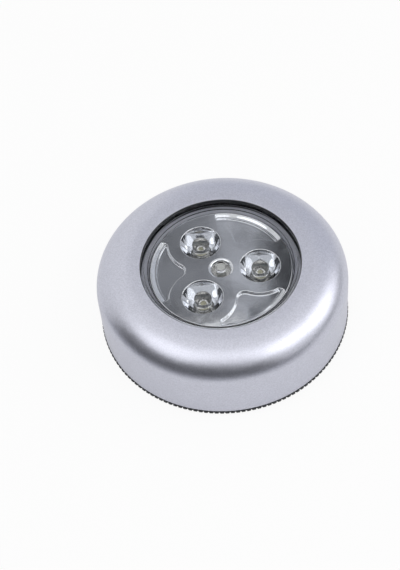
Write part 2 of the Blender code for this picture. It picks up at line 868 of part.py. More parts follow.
def make_switch(lamp, plunger_frame):
    """The click switch: an open plastic box with six pins, a steel cover, a plunger and its return spring."""
    body = square(switch_width / 2, switch_seat, switch_body_top, "switch_body")
    body.data.materials.append(finish_of(BLACK))
    hollow = switch_width / 2 - switch_wall
    cut(body, square(hollow, switch_seat + switch_floor, switch_body_top + overrun))
    pin_top = switch_seat + switch_floor / 2
    add_pins(body, switch_pin_places(), switch_pin_width, board_bottom, pin_top)
    place(body, lamp)
    cover_bottom = switch_body_top + seat_gap
    cover_top = cover_bottom + switch_cover_thickness
    cover = square(switch_width / 2, cover_bottom, cover_top, "switch_cover")
    cover.data.materials.append(finish_of(STEEL))
    cut(cover, square(plunger_width / 2 + seat_gap, cover_bottom - overrun, cover_top + overrun))
    place(cover, lamp)
    plunger = square(plunger_width / 2, plunger_bottom, plunger_top, "switch_plunger")
    plunger.data.materials.append(finish_of(FOAM))
    join(plunger, square(plunger_flange_width / 2, plunger_bottom, plunger_flange_top))
    place(plunger, plunger_frame, (0.0, 0.0, 0.0))
    foot = switch_seat + switch_floor + seat_gap
    room = plunger_bottom - seat_gap - foot
    radius = return_spring_radius
    spring = coil(
        "return_spring",
        radius,
        radius,
        room,
        return_spring_turns,
        return_spring_wire,
        spring_steps,
        STEEL,
    )
    place_curve(spring, lamp, (0.0, 0.0, foot))


def make_resistor(lamp):
    """One axial resistor between two LEDs, lying across the board."""
    half = resistor_length / 2
    lead = resistor_lead_radius
    wide, waist = resistor_radius, resistor_radius - resistor_neck
    outline = [
        (0.0, -half - resistor_lead_reach),
        (lead, -half - resistor_lead_reach),
        (lead, -half),
        (wide, -half),
        (wide, -half / 2),
        (waist, -half / 3),
        (waist, half / 3),
        (wide, half / 2),
        (wide, half),
        (lead, half),
        (lead, half + resistor_lead_reach),
        (0.0, half + resistor_lead_reach),
    ]
    resistor = turned("resistor", outline, post_sides, TAN)
    height = board_top + seat_gap + resistor_radius
    return place(resistor, lamp, (-led_circle_radius, 0.0, height), (90.0, 0.0, 0.0))


def make_screws(lamp):
    """Four pan-head screws that reach up through the deck into the housing's posts."""
    head_top = chassis_under - seat_gap
    head_bottom = head_top - screw_head_height
    tip = chassis_top + seat_gap + screw_reach
    outline = [
        (0.0, head_bottom),
        (screw_head_radius / 2, head_bottom),
        (screw_head_radius, head_bottom + screw_head_height / 2),
        (screw_head_radius, head_top),
        (screw_radius, head_top),
        (screw_radius, tip - screw_radius),
        (0.0, tip),
    ]
    for number, (x, y) in enumerate(screw_places(), 1):
        place(turned(f"chassis_screw_{number}", outline, post_sides, STEEL), lamp, (x, y, 0.0))


def build():
    clear_scene()
    base = frame("base")
    lamp = frame("lamp")
    lens = frame("lens", lamp, lens_under)
    plunger = frame("plunger", lamp, plunger_bottom)
    bpy.context.view_layer.update()
    make_adhesive_pad(base)
    make_base_cover(base)
    make_housing(lamp)
    make_chassis(lamp)
    make_contact("contact_positive", lamp, 1, 0, 0, True)
    make_contact("contact_bridge_front", lamp, 1, 1, 2, False)
    make_contact("contact_bridge_rear", lamp, -1, 0, 1, False)
    make_contact("contact_negative", lamp, -1, 2, 2, True)
    for row in range(cell_count):
        make_cell(f"aaa_cell_{row + 1}", lamp, row)
        make_battery_spring(f"battery_spring_{row + 1}", lamp, row)
    make_board(lamp)
    for number, angle in enumerate(led_angles(), 1):
        make_led(f"led_{number}", lamp, angle)
    make_resistor(lamp)
    make_reflector(lamp)
    make_switch(lamp, plunger)
    make_wire("wire_red", lamp, 1, RED)
    make_wire("wire_black", lamp, -1, BLACK)
    make_screws(lamp)
    make_lens(lens)


build()
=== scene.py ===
"""Round stick-on puck light in silver paint: its fine shapes, its finishes and a plain studio.

Every size is in metres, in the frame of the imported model: the origin is the middle of the pad's
lower face and +Z points out of the clear cover.
"""

import json
from math import acos, atan2, ceil, cos, degrees, pi, radians, sin, sqrt, tau

import bmesh
import bpy
from bpy.props import FloatProperty, FloatVectorProperty, IntProperty, PointerProperty
from bpy.types import Operator, Panel, PropertyGroup
from mathutils import Matrix, Vector


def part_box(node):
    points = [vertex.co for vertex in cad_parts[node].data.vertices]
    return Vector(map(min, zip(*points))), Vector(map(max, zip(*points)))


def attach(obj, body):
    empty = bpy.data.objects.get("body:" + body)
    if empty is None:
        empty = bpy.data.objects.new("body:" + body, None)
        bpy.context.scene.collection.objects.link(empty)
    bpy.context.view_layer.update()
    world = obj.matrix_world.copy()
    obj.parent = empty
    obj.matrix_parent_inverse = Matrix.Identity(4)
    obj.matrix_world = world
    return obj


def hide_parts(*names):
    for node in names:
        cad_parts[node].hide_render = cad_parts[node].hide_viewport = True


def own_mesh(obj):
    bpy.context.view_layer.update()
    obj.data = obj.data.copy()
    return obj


bl_info = {
    "name": "Puck light",
    "version": (1, 0, 0),
    "blender": (4, 5, 0),
    "location": "View3D > Sidebar > Puck light",
    "description": "A round push-to-light lamp with a clear cover, a bright reflector and three LEDs",
    "category": "Add Mesh",
}

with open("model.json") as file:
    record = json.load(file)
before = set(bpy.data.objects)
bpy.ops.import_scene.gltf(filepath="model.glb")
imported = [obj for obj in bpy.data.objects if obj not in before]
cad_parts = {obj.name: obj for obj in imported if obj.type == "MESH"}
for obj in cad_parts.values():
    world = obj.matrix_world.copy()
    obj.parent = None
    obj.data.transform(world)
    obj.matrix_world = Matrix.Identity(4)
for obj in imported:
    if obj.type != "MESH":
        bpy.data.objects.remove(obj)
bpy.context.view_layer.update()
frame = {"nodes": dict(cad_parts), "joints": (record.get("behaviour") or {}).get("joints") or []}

MM = 0.001
ORIGIN = (0.0, 0.0, 0.0)
UP = (0.0, 0.0, 1.0)
WHITE = (1.0, 1.0, 1.0, 1.0)

# Points that lie closer than this become one
WELD = 0.0005 * MM

# The longest facet along a rounding, the fewest facets of one, and a curved block's facets in degrees
ROUNDING_FACET = 0.28 * MM
FEWEST_FACETS = 3
SECTOR_FACET = 1.5

# Facets of a rolled edge, of a coil's turn and round its wire
ROLL_STEPS = 4
COIL_STEPS = 28
WIRE_SIDES = 10

# Facets round a full turn
SHELL_STEPS = 240
SPIGOT_STEPS = 180
PAD_STEPS = 120
CUP_STEPS = 108
HOLE_STEPS = 96
LED_STEPS = 72
CELL_STEPS = 64
POST_STEPS = 36
DISH_STEPS = 32
FLOOR_STEPS = 96

housing_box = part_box("housing")
cover_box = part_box("lens_cover")
reflector_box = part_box("reflector")
led_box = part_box("led_1")
base_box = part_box("base_cover")
pad_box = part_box("adhesive_pad")
cell_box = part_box("aaa_cell_1")


# Sizes and colours that a user may change


def length(name, default, description):
    return FloatProperty(
        name=name, description=description, default=default, precision=5, subtype="DISTANCE", unit="LENGTH"
    )


def turn_of(name, default, description):
    return FloatProperty(
        name=name, description=description, default=radians(default), subtype="ANGLE", unit="ROTATION"
    )


def share(name, default, description):
    return FloatProperty(
        name=name, description=description, default=default, min=0.0, max=1.0, subtype="FACTOR"
    )


def level(name, default, description):
    return FloatProperty(name=name, description=description, default=default, min=0.0)


def count_of(name, default, least, description):
    return IntProperty(name=name, description=description, default=default, min=least)


def colour(name, default, description):
    return FloatVectorProperty(
        name=name, description=description, default=default, size=3, min=0.0, max=1.0, subtype="COLOR"
    )


class HousingSizes(PropertyGroup):
    """The silver housing, moulded in one piece with its posts and catches."""

    outer: length("Outer radius", housing_box[1][0], "Radius of the wall at its foot")
    bottom: length("Foot", housing_box[0][2], "Height of the wall's lower edge")
    top: length("Top", housing_box[1][2], "Height of the top at its opening")
    wall: length("Wall", 1.6 * MM, "Thickness of the wall")
    draft: length("Draft", 0.1 * MM, "How far the wall leans in by its top")
    foot_round: length("Foot rounding", 0.35 * MM, "Rounding of the lower outer edge")
    shoulder_width: length("Shoulder width", 10.0 * MM, "How far in the rounded shoulder reaches")
    shoulder_height: length("Shoulder height", 7.6 * MM, "How far down the rounded shoulder reaches")
    crown: length("Crown", 0.3 * MM, "How far the top falls from its opening to the shoulder's outer edge")
    lip: length("Lip thickness", 1.6 * MM, "Thickness of the top")
    lip_round: length("Lip rounding", 0.3 * MM, "Rounding of the opening's upper edge")
    opening: length("Opening radius", 21.95 * MM, "Radius of the opening for the cover")
    post: length("Post radius", 2.2 * MM, "Radius of a screw post")
    post_circle: length("Post circle", 27.65 * MM, "Distance of the posts from the middle")
    post_bearing: turn_of("Post bearing", 58.0, "Where one post is; the others mirror it across X and Y")
    post_foot: length("Post foot", 12.85 * MM, "Height of the posts' lower ends")
    catch_inner: length("Catch reach", 32.355 * MM, "Radius that the catches for the base reach in to")
    catch_bottom: length("Catch foot", 2.85 * MM, "Height of the catches' lower faces")
    catch_top: length("Catch top", 4.05 * MM, "Height of the catches' upper faces")
    catches: count_of("Catches", 3, 1, "How many catches there are")
    catch_span: turn_of("Catch span", 18.0, "How far round a catch reaches")
    catch_phase: turn_of("Catch phase", 30.0, "Where the first catch is")


class CoverSizes(PropertyGroup):
    """The clear cover that is pressed to switch the light."""

    radius: length("Radius", 21.15 * MM, "Outer radius of the cover above its flange")
    top: length("Top", cover_box[1][2], "Height of the upper face at rest")
    thickness: length("Thickness", 1.2 * MM, "Thickness of the flat disc")
    wall: length("Wall", 1.0 * MM, "Thickness of the cover's side wall")
    edge: length("Edge rounding", 0.35 * MM, "Rounding of the upper edge")
    fine: length("Fine rounding", 0.12 * MM, "Rounding of the other edges")
    flange: length("Flange radius", cover_box[1][0], "Radius of the flange under the housing's lip")
    flange_bottom: length("Flange foot", 19.7 * MM, "Height of the flange's lower face")
    flange_top: length("Flange top", 20.7 * MM, "Height of the flange's upper face")
    post: length("Post radius", 1.5 * MM, "Radius of the post over the switch")
    post_foot: length("Post foot", cover_box[0][2], "Height of the post's lower end at rest")


class ReflectorSizes(PropertyGroup):
    """The bright moulding with its cups and leaf-shaped pockets."""

    radius: length("Radius", 19.85 * MM, "Outer radius of the bright moulding above its flange")
    flange: length("Flange radius", reflector_box[1][0], "Radius of the flange under the cover's edge")
    flange_top: length("Flange top", 18.55 * MM, "Height of the flange's upper face")
    flange_height: length("Flange height", 0.8 * MM, "Thickness of the flange")
    face: length("Face", reflector_box[1][2], "Height of the flat mirror face")
    foot: length("Foot", reflector_box[0][2], "Height of the skirt's lower edge")
    wall: length("Wall", 0.7 * MM, "Thickness of the moulding")
    rim_round: length("Rim rounding", 0.5 * MM, "Rounding of the outer upper edge")
    cup: length("Cup radius", 5.6 * MM, "Radius of a cup at the face")
    cup_circle: length("Cup circle", 10.7 * MM, "Distance of the cups from the middle")
    cup_depth: length("Cup depth", 4.3 * MM, "Depth of a cup")
    cup_hole: length("Cup hole radius", 2.55 * MM, "Radius of the hole in a cup's floor")
    cup_round: length("Cup rounding", 0.22 * MM, "Rounding of a cup's rim")
    leaf_depth: length("Leaf depth", 0.9 * MM, "Depth of a leaf-shaped pocket")
    leaf_neck: length("Leaf neck", 0.2 * MM, "Flat left between two leaves beside a cup")
    leaf_rim: length("Leaf rim", 0.75 * MM, "Flat left outside the leaves")
    leaf_slope: length("Leaf slope", 0.85 * MM, "Width of the slope along a leaf's outer arc")
    leaf_slope_depth: length("Leaf slope depth", 0.42 * MM, "Depth at the slope's foot")
    leaf_ledge: length("Leaf ledge", 0.3 * MM, "Width of the ledge between the slope and the leaf's wall")
    leaf_draft: length("Leaf draft", 0.12 * MM, "How far a leaf's sides lean in")
    leaf_round: length("Leaf rounding", 0.2 * MM, "Rounding of a leaf's edges")
    leaf_tip: length("Leaf tip radius", 2.3 * MM, "Rounding of the leaf's tip in plan")
    leaf_corner: length("Leaf corner radius", 0.45 * MM, "Rounding of the leaf's corners in plan")
    notch: length("Notch width", 2.4 * MM, "Width of the two notches for the leads")
    notch_height: length("Notch height", 2.6 * MM, "Height of the two notches for the leads")
    notch_bearing: turn_of("Notch bearing", 25.24, "Where the notch for the red lead is")
    middle: length("Middle hole radius", 2.5 * MM, "Radius of the hole over the switch")
    middle_round: length("Middle rounding", 1.0 * MM, "Rounding of the middle hole's rim")


class LedSizes(PropertyGroup):
    """A clear straw-hat LED."""

    radius: length("Radius", 2.4 * MM, "Radius of the clear body")
    flange: length("Flange radius", 2.8 * MM, "Radius of the flange")
    flange_height: length("Flange height", 0.8 * MM, "Height of the flange")
    seat: length("Seat", 14.0 * MM, "Height of the flange's lower face")
    top: length("Top", led_box[1][2] + 0.4 * MM, "Height of the dome's top, over the packed solid's")
    dome: length("Dome height", 0.7 * MM, "Height of the shallow dome")
    lead: length("Lead width", 0.5 * MM, "Width of a square lead")
    lead_spacing: length("Lead spacing", 2.54 * MM, "Distance between the leads")
    lead_foot: length("Lead foot", led_box[0][2], "Height of the leads' lower ends")
    sheet: length("Frame thickness", 0.2 * MM, "Thickness of the frame inside the body")
    plate: length("Plate radius", 2.15 * MM, "Radius of the split plate at the body's foot")
    dish: length("Dish radius", 1.0 * MM, "Radius of the dish that carries the chip")
    spot: length("Spot radius", 0.55 * MM, "Radius of the yellow spot in the dish")
    ink: length("Ink radius", 4.6 * MM, "Radius of the white ink on the board under an LED")
    count: count_of("Count", 3, 1, "How many LEDs there are")


class BaseSizes(PropertyGroup):
    """The black base with its gripping teeth, and the foam pad under it."""

    tip: length("Tooth tip radius", 35.055 * MM, "Radius over the teeth")
    depth: length("Tooth depth", 0.42 * MM, "Depth of the grooves between the teeth")
    teeth: count_of("Teeth", 150, 12, "How many teeth there are")
    tip_share: share("Tooth tip share", 0.62, "Share of the pitch that a tooth's tip takes")
    tooth_round: length("Tooth rounding", 0.126 * MM, "Rounding of a tooth's corners")
    bottom: length("Foot", base_box[0][2], "Height of the base's lower face")
    floor: length("Floor", 1.6 * MM, "Height of the base's upper face")
    edge_round: length("Edge rounding", 0.12 * MM, "Rounding of the teeth's edges")
    spigot: length("Spigot radius", 32.055 * MM, "Outer radius of the ring inside the housing")
    spigot_wall: length("Spigot wall", 1.0 * MM, "Thickness of the ring")
    spigot_top: length("Spigot top", base_box[1][2], "Height of the ring's upper edge")
    lug_reach: length("Lug reach", 0.9 * MM, "How far a lug stands out from the ring")
    lug_height: length("Lug height", 1.0 * MM, "Height of a lug")
    lug_span: turn_of("Lug span", 16.0, "How far round a lug reaches")
    head: length("Keyhole head radius", 3.7 * MM, "Radius of a keyhole's round end")
    slot: length("Keyhole slot width", 3.8 * MM, "Width of a keyhole's slot")
    slot_length: length("Keyhole slot length", 5.5 * MM, "Distance between a keyhole's two centres")
    keyhole_y: length("Keyhole offset", 22.35 * MM, "Distance of the keyholes from the middle")
    pad: length("Pad radius", pad_box[1][0], "Radius of the foam pad")
    pad_top: length("Pad thickness", pad_box[1][2], "Thickness of the foam pad")
    pad_round: length("Pad rounding", 0.22 * MM, "Rounding of the foam's edges")


class CellSizes(PropertyGroup):
    """The AAA cells."""

    count: count_of("Count", 3, 1, "How many cells there are")
    radius: length("Radius", 5.2 * MM, "Radius of a cell")
    length: length("Length", 44.5 * MM, "Length of a cell over its nub")
    nub: length("Nub radius", 1.9 * MM, "Radius of the plus end's nub")
    nub_length: length("Nub length", 0.9 * MM, "Length of the plus end's nub")
    axis: length("Axis height", (cell_box[0][2] + cell_box[1][2]) / 2, "Height of the cells' axes")
    band: length("Band width", 8.0 * MM, "Width of the bright band at the plus end")


class SpringSizes(PropertyGroup):
    """The springs at the cells' flat ends, and the one that lifts the switch's plunger."""

    foot: length("Foot radius", 3.4 * MM, "Radius of a cell spring's turn at its contact")
    tip: length("Tip radius", 1.7 * MM, "Radius of a cell spring's turn at its cell")
    wire: length("Wire", 0.5 * MM, "Thickness of a cell spring's wire")
    turns: level("Turns", 3.25, "How many turns a cell spring has")
    lift_radius: length("Lift radius", 1.2 * MM, "Radius of the plunger's spring")
    lift_wire: length("Lift wire", 0.3 * MM, "Thickness of the plunger spring's wire")
    lift_turns: level("Lift turns", 3.0, "How many turns the plunger's spring has")


class Colours(PropertyGroup):
    """The colours of the finishes."""

    silver: colour("Silver paint", (0.7, 0.71, 0.8), "Paint on the housing")
    silver_dark: colour("Silver paint, dark flakes", (0.59, 0.6, 0.68), "The darker flakes in the paint")
    bright: colour("Bright metallising", (0.84, 0.85, 0.88), "Mirror coat on the reflector")
    clear: colour("Clear plastic", (0.97, 0.98, 0.99), "Cover and LED bodies")
    # This black is also painted shade: on the housing's opening wall and lip edge, and on the outer edge of
    # the reflector's flange
    black: colour("Black plastic", (0.028, 0.03, 0.034), "Base, battery tray, switch and bare edges")
    phosphor: colour("Phosphor", (0.72, 0.68, 0.46), "Yellow spot in each LED")
    foam: colour("Foam", (0.8, 0.8, 0.77), "Foam pad")
    board: colour("Board", (0.035, 0.17, 0.085), "Green solder mask on the circuit board")
    copper: colour("Covered copper", (0.1, 0.27, 0.12), "Tracks that show through the mask")
    ink: colour("Board ink", (0.66, 0.67, 0.66), "White ink printed on the board under the LEDs")
    jacket: colour("Cell jacket", (0.05, 0.07, 0.13), "Jacket of the cells")
    band: colour("Cell band", (0.6, 0.34, 0.16), "Band at a cell's plus end")
    steel: colour("Plated steel", (0.66, 0.65, 0.62), "Contacts, springs, leads and screws")
    white: colour("White plastic", (0.78, 0.78, 0.75), "Plunger of the switch")
    red: colour("Red insulation", (0.55, 0.02, 0.02), "Positive lead")
    tan: colour("Resistor coat", (0.58, 0.44, 0.26), "Resistor body")
    floor: colour("Floor", (0.88, 0.88, 0.88), "Studio floor")
    panel: colour("Panels", (0.92, 0.94, 1.0), "The panels that the reflections show, at full tone")


class Studio(PropertyGroup):
    """Camera, floor, surroundings and lamps."""

    azimuth: turn_of("Azimuth", 3.2, "Where the camera stands round the light")
    elevation: turn_of("Elevation", 53.698, "How high the camera stands")
    roll: turn_of("Roll", -6.373, "How far the picture is turned")
    distance: length("Distance", 380.55 * MM, "From the origin to the camera, along its line of sight")
    aim_across: length("Aim across", -6.22 * MM, "How far right of the origin the camera points")
    aim_up: length("Aim up", 7.74 * MM, "How far above the origin the camera points")
    sensor: FloatProperty(name="Sensor", description="Long side of the sensor in millimetres", default=36.0)
    lens: FloatProperty(name="Focal length", description="Focal length in millimetres", default=84.134)
    floor_radius: length("Floor radius", 2.5, "Radius of the studio floor")
    floor_white: share("Floor white", 0.92, "Share of the floor that shows plain white")
    floor_in_gloss: share("Floor in gloss", 0.36, "How much of that white shows in gloss")
    world_in_gloss: share("Surroundings in gloss", 0.82, "Level of the white surroundings in gloss")
    lamp_distance: length("Lamp distance", 0.85, "Distance of the four soft lamps")
    right_lamp: level("Right lamp", 0.8, "Power of the upper soft lamp on the right in watts")
    low_right_lamp: level("Low right lamp", 0.88, "Power of the lower soft lamp on the right in watts")
    left_lamp: level("Left lamp", 0.68, "Power of the soft lamp on the left in watts")
    front_lamp: level("Front lamp", 0.22, "Power of the soft lamp over the front in watts")
    surroundings: level("Surroundings", 0.6, "Level of the soft light from all round")


SIZE_GROUPS = {
    "puck_housing": HousingSizes,
    "puck_cover": CoverSizes,
    "puck_reflector": ReflectorSizes,
    "puck_led": LedSizes,
    "puck_base": BaseSizes,
    "puck_cell": CellSizes,
    "puck_spring": SpringSizes,
    "puck_colours": Colours,
    "puck_studio": Studio,
}


# Modelling


def piece_from(name, bm, *finishes):
    """A finished object from a bmesh, standing at the origin."""
    mesh = bpy.data.meshes.new(name)
    bm.to_mesh(mesh)
    bm.free()
    for finish in finishes:
        mesh.materials.append(finish)
    piece = bpy.data.objects.new(name, mesh)
    bpy.context.scene.collection.objects.link(piece)
    return piece


def even_shading(piece, angle, flat_heights):
    """Smooth shading that keeps the flats flat: in full where heights are given, else by face area."""
    piece.data.shade_smooth()
    piece.data.set_sharp_from_angle(angle=radians(angle))
    if flat_heights:
        normals = []
        for point in piece.data.vertices:
            on_flat = any(abs(point.co.z - height) < WELD for height in flat_heights)
            normals.append(UP if on_flat else ORIGIN)
        piece.data.normals_split_custom_set_from_vertices(normals)
        return
    modifier = piece.modifiers.new("even shading", "WEIGHTED_NORMAL")
    modifier.weight = 100
    modifier.keep_sharp = True


def rounded_corner(bm, corner, width, height):
    """Rounds one corner of a section in the XZ plane to a quarter ellipse."""
    from_corner = Matrix.Translation((0.0, 0.0, -corner.co.z))
    stretch = width / height
    bmesh.ops.scale(bm, vec=(1.0, 1.0, stretch), space=from_corner, verts=bm.verts)
    bmesh.ops.bevel(
        bm,
        geom=[corner],
        offset=width,
        offset_type="OFFSET",
        affect="VERTICES",
        segments=max(FEWEST_FACETS, ceil(width * pi / 2 / ROUNDING_FACET)),
        profile=0.5,
        material=-1,
        clamp_overlap=False,
    )
    bmesh.ops.scale(bm, vec=(1.0, 1.0, 1.0 / stretch), space=from_corner, verts=bm.verts)


def rounded_edges(bm, edges, offset, **settings):
    """Rounds edges with two facets each."""
    bmesh.ops.bevel(
        bm, geom=edges, offset=offset, affect="EDGES", segments=2, profile=0.5, material=-1, **settings
    )


def sharp_edges(bm):
    """The edges between two faces that meet at more than 60 degrees."""
    return [edge for edge in bm.edges if edge.is_manifold and edge.calc_face_angle() > pi / 3]


def turned(corners, steps):
    """A solid of revolution about Z. A corner is its radius, height and rounding, or both its roundings."""
    bm = bmesh.new()
    points = [bm.verts.new((corner[0], 0.0, corner[1])) for corner in corners]
    bm.faces.new(points)
    for point, corner in zip(points, corners):
        if len(corner) > 2:
            rounded_corner(bm, point, corner[2], corner[-1])
    bmesh.ops.delete(bm, geom=bm.faces[:], context="FACES_ONLY")
    on_axis = [edge for edge in bm.edges if max(point.co.x for point in edge.verts) < WELD]
    bmesh.ops.delete(bm, geom=on_axis, context="EDGES_FACES")
    outline = bm.verts[:] + bm.edges[:]
    bmesh.ops.spin(bm, geom=outline, cent=ORIGIN, axis=UP, angle=tau, steps=steps, use_merge=True)
    bmesh.ops.remove_doubles(bm, verts=bm.verts, dist=WELD)
    bmesh.ops.recalc_face_normals(bm, faces=bm.faces)
    return bm


def add_to(bm, other):
    """Takes the other bmesh's shells into the first."""
    carrier = bpy.data.meshes.new("carrier")
    other.to_mesh(carrier)
    other.free()
    bm.from_mesh(carrier)
    bpy.data.meshes.remove(carrier)


def moved(bm, offset, turn=None):
    """Turns a whole bmesh about the origin, then moves it."""
    if turn:
        bmesh.ops.rotate(bm, cent=ORIGIN, matrix=turn, verts=bm.verts)
    bmesh.ops.translate(bm, vec=offset, verts=bm.verts)
    return bm


def block(low, high, edge=0.0):
    """A box between two opposite corners, with its edges rounded."""
    low, high = Vector(low), Vector(high)
    bm = bmesh.new()
    bmesh.ops.create_cube(bm, size=1.0)
    bmesh.ops.scale(bm, vec=high - low, verts=bm.verts)
    bmesh.ops.translate(bm, vec=(low + high) / 2, verts=bm.verts)
    if edge:
        rounded_edges(bm, bm.edges[:], edge)
    return bm


def sector(inner, outer, bottom, top, middle, span, edge=0.0):
    """A curved block between two radii, made by turning its section through an angle."""
    bm = block((inner, 0.0, bottom), (outer, 0.0, top))
    bmesh.ops.remove_doubles(bm, verts=bm.verts, dist=WELD)
    bmesh.ops.delete(bm, geom=bm.faces[:], context="FACES_ONLY")
    section = bmesh.ops.contextual_create(bm, geom=bm.edges[:])["faces"]
    turn = Matrix.Rotation(middle - span / 2, 3, "Z")
    bmesh.ops.rotate(bm, cent=ORIGIN, matrix=turn, verts=bm.verts)
    steps = ceil(degrees(span) / SECTOR_FACET)
    bmesh.ops.spin(bm, geom=section, cent=ORIGIN, axis=UP, angle=span, steps=steps)
    bmesh.ops.recalc_face_normals(bm, faces=bm.faces)
    if edge:
        rounded_edges(bm, sharp_edges(bm), edge)
    return bm


def swept(bm, start, centre, angle, steps):
    """An arc of edges that the start point draws about a centre in the XY plane. Returns its far end."""
    pivot = (*centre, start.co.z)
    made = bmesh.ops.spin(bm, geom=[start], cent=pivot, axis=UP, angle=angle, steps=steps)
    return next(item for item in made["geom_last"] if isinstance(item, bmesh.types.BMVert))


def mirrored_loop(bm):
    """Closes half an outline, drawn on one side of the X axis, by mirroring it."""
    bmesh.ops.mirror(bm, geom=bm.verts[:] + bm.edges[:], axis="Y", merge_dist=WELD)
    bmesh.ops.remove_doubles(bm, verts=bm.verts, dist=WELD)
    return bm


def loop_from(bm, other):
    """Takes a loop into a bmesh and returns its edges there."""
    before = len(bm.edges)
    add_to(bm, other)
    bm.edges.ensure_lookup_table()
    return bm.edges[before:]


def ring(bm, radius, height, steps, centre=(0.0, 0.0)):
    """A circle of edges at one height."""
    before = len(bm.edges)
    spot = Matrix.Translation((*centre, height))
    bmesh.ops.create_circle(bm, segments=steps, radius=radius, matrix=spot)
    bm.edges.ensure_lookup_table()
    return bm.edges[before:]


def bridged(bm, loops):
    """Joins each loop of edges to the next one with a band of faces."""
    for first, second in zip(loops, loops[1:]):
        bmesh.ops.bridge_loops(bm, edges=first + second)


def rolled(radius, end=pi / 2):
    """How far in and how far down a rounded edge has come at each step, from flat to its slope at the end."""
    turns = [end * k / ROLL_STEPS for k in range(ROLL_STEPS + 1)]
    return [(radius * sin(turn), radius * (1 - cos(turn))) for turn in turns]


def level_edges(bm, height):
    """The open edges that lie at one height."""
    return [
        edge
        for edge in bm.edges
        if len(edge.link_faces) < 2 and max(abs(point.co.z - height) for point in edge.verts) < WELD
    ]


def pushed_out(bm, point, travel):
    """Moves a point straight away from the Z axis."""
    part = travel / point.co.xy.length
    bmesh.ops.translate(bm, vec=(point.co.x * part, point.co.y * part, 0.0), verts=[point])


def spring(foot, tip, height, turns, wire):
    """A coil of round wire that climbs +Z from its foot's radius to its tip's, as one closed tube."""
    bm = bmesh.new()
    bmesh.ops.create_circle(bm, cap_ends=True, segments=WIRE_SIDES, radius=wire / 2)
    moved(bm, (foot, 0.0, wire / 2), Matrix.Rotation(pi / 2, 3, "X"))
    count = round(COIL_STEPS * turns)
    climb = (0.0, 0.0, (height - wire) / count)
    bmesh.ops.spin(
        bm, geom=bm.faces[:], cent=ORIGIN, axis=UP, dvec=climb, angle=tau * turns, steps=count
    )
    for point in bm.verts:
        climbed = min(1.0, max(0.0, (point.co.z - wire / 2) / (height - wire)))
        pushed_out(bm, point, (tip - foot) * climbed)
    bmesh.ops.recalc_face_normals(bm, faces=bm.faces)
    return bm


def polar(radius, angle):
    """The point at this radius and angle round the origin."""
    return radius * cos(angle), radius * sin(angle)


def bearing(start, end):
    """The angle from X of the line from one point to another."""
    return atan2(end[1] - start[1], end[0] - start[0])


def turn_between(start, end):
    """The short way round from one bearing to another."""
    return (end - start + pi) % tau - pi


# Finishes


class Tone:
    """A shader socket that takes part in Python's sums and products."""

    def __init__(self, mixer, socket):
        self.mixer = mixer
        self.socket = socket

    def result(self, operation, first, second):
        return self.mixer.node("ShaderNodeMath", {"operation": operation}, {0: first, 1: second})

    def __add__(self, other):
        return self.result("ADD", self, other)

    def __radd__(self, other):
        return self.result("ADD", other, self)

    def __sub__(self, other):
        return self.result("SUBTRACT", self, other)

    def __rsub__(self, other):
        return self.result("SUBTRACT", other, self)

    def __mul__(self, other):
        return self.result("MULTIPLY", self, other)

    def __rmul__(self, other):
        return self.result("MULTIPLY", other, self)


class Mixer:
    """Wires the nodes of one material or of the world."""

    def __init__(self, tree):
        self.tree = tree

    def node(self, kind, settings=None, inputs=None, output=0):
        """Adds a node. Its settings come first, then the values or links of its sockets."""
        made = self.tree.nodes.new(kind)
        for name, value in (settings or {}).items():
            setattr(made, name, value)
        self.feed(made, inputs or {})
        return Tone(self, made.outputs[output])

    def feed(self, node, inputs):
        """Gives a node's sockets their links and values."""
        for name, value in inputs.items():
            if isinstance(value, Tone):
                self.tree.links.new(value.socket, node.inputs[name])
            else:
                node.inputs[name].default_value = value

    def blend(self, first, second, factor):
        """A colour between two others."""
        return self.node(
            "ShaderNodeMix", {"data_type": "RGBA"}, {"Factor": factor, 6: first, 7: second}, 2
        )

    def place(self):
        """The place on the piece, in metres."""
        return self.node("ShaderNodeTexCoord", output="Object")

    def along(self, axis):
        """That place's X, Y or Z for an axis of 0, 1 or 2."""
        return self.node("ShaderNodeSeparateXYZ", inputs={0: self.place()}, output=axis)

    def noise(self, size, detail=2.0, roughness=0.5, stretch=None):
        """Soft cloudy variation from 0 to 1 with spots of this size."""
        where = self.place()
        if stretch:
            where = self.node("ShaderNodeMapping", inputs={"Vector": where, "Scale": stretch})
        inputs = {"Vector": where, "Scale": 1.0 / size, "Detail": detail, "Roughness": roughness}
        return self.node("ShaderNodeTexNoise", inputs=inputs)

    def ripple(self, axis, size):
        """Even waves of this size along one axis, from -1 to 1."""
        phase = self.along(axis) * (tau / size)
        return self.node("ShaderNodeMath", {"operation": "SINE"}, {0: phase})

    def flakes(self, size, output="Distance", feature="F1"):
        """A cell pattern with cells of this size."""
        inputs = {"Vector": self.place(), "Scale": 1.0 / size}
        return self.node("ShaderNodeTexVoronoi", {"feature": feature}, inputs, output)

    def bump(self, height, depth, strength, below=None):
        """A relief of this depth, over another one if that is given."""
        inputs = {"Strength": strength, "Distance": depth, "Height": height}
        if below:
            inputs["Normal"] = below
        return self.node("ShaderNodeBump", inputs=inputs)

    def step(self, value, low, high):
        """Runs smoothly from 0 at low to 1 at high."""
        return self.node(
            "ShaderNodeMapRange",
            {"interpolation_type": "SMOOTHSTEP"},
            {"Value": value, "From Min": low, "From Max": high},
        )

    def larger(self, first, second):
        """The larger of two values."""
        return self.node("ShaderNodeMath", {"operation": "MAXIMUM"}, {0: first, 1: second})


def rgba(tint):
    return (*tint, 1.0)


def shaded(tint, amount):
    """A colour made lighter or darker."""
    return tuple(min(1.0, part * amount) for part in tint) + (1.0,)


def new_finish(name):
    """An empty material, and the mixer that wires it."""
    made = bpy.data.materials.new(name)
    made.use_nodes = True
    return made, Mixer(made.node_tree)


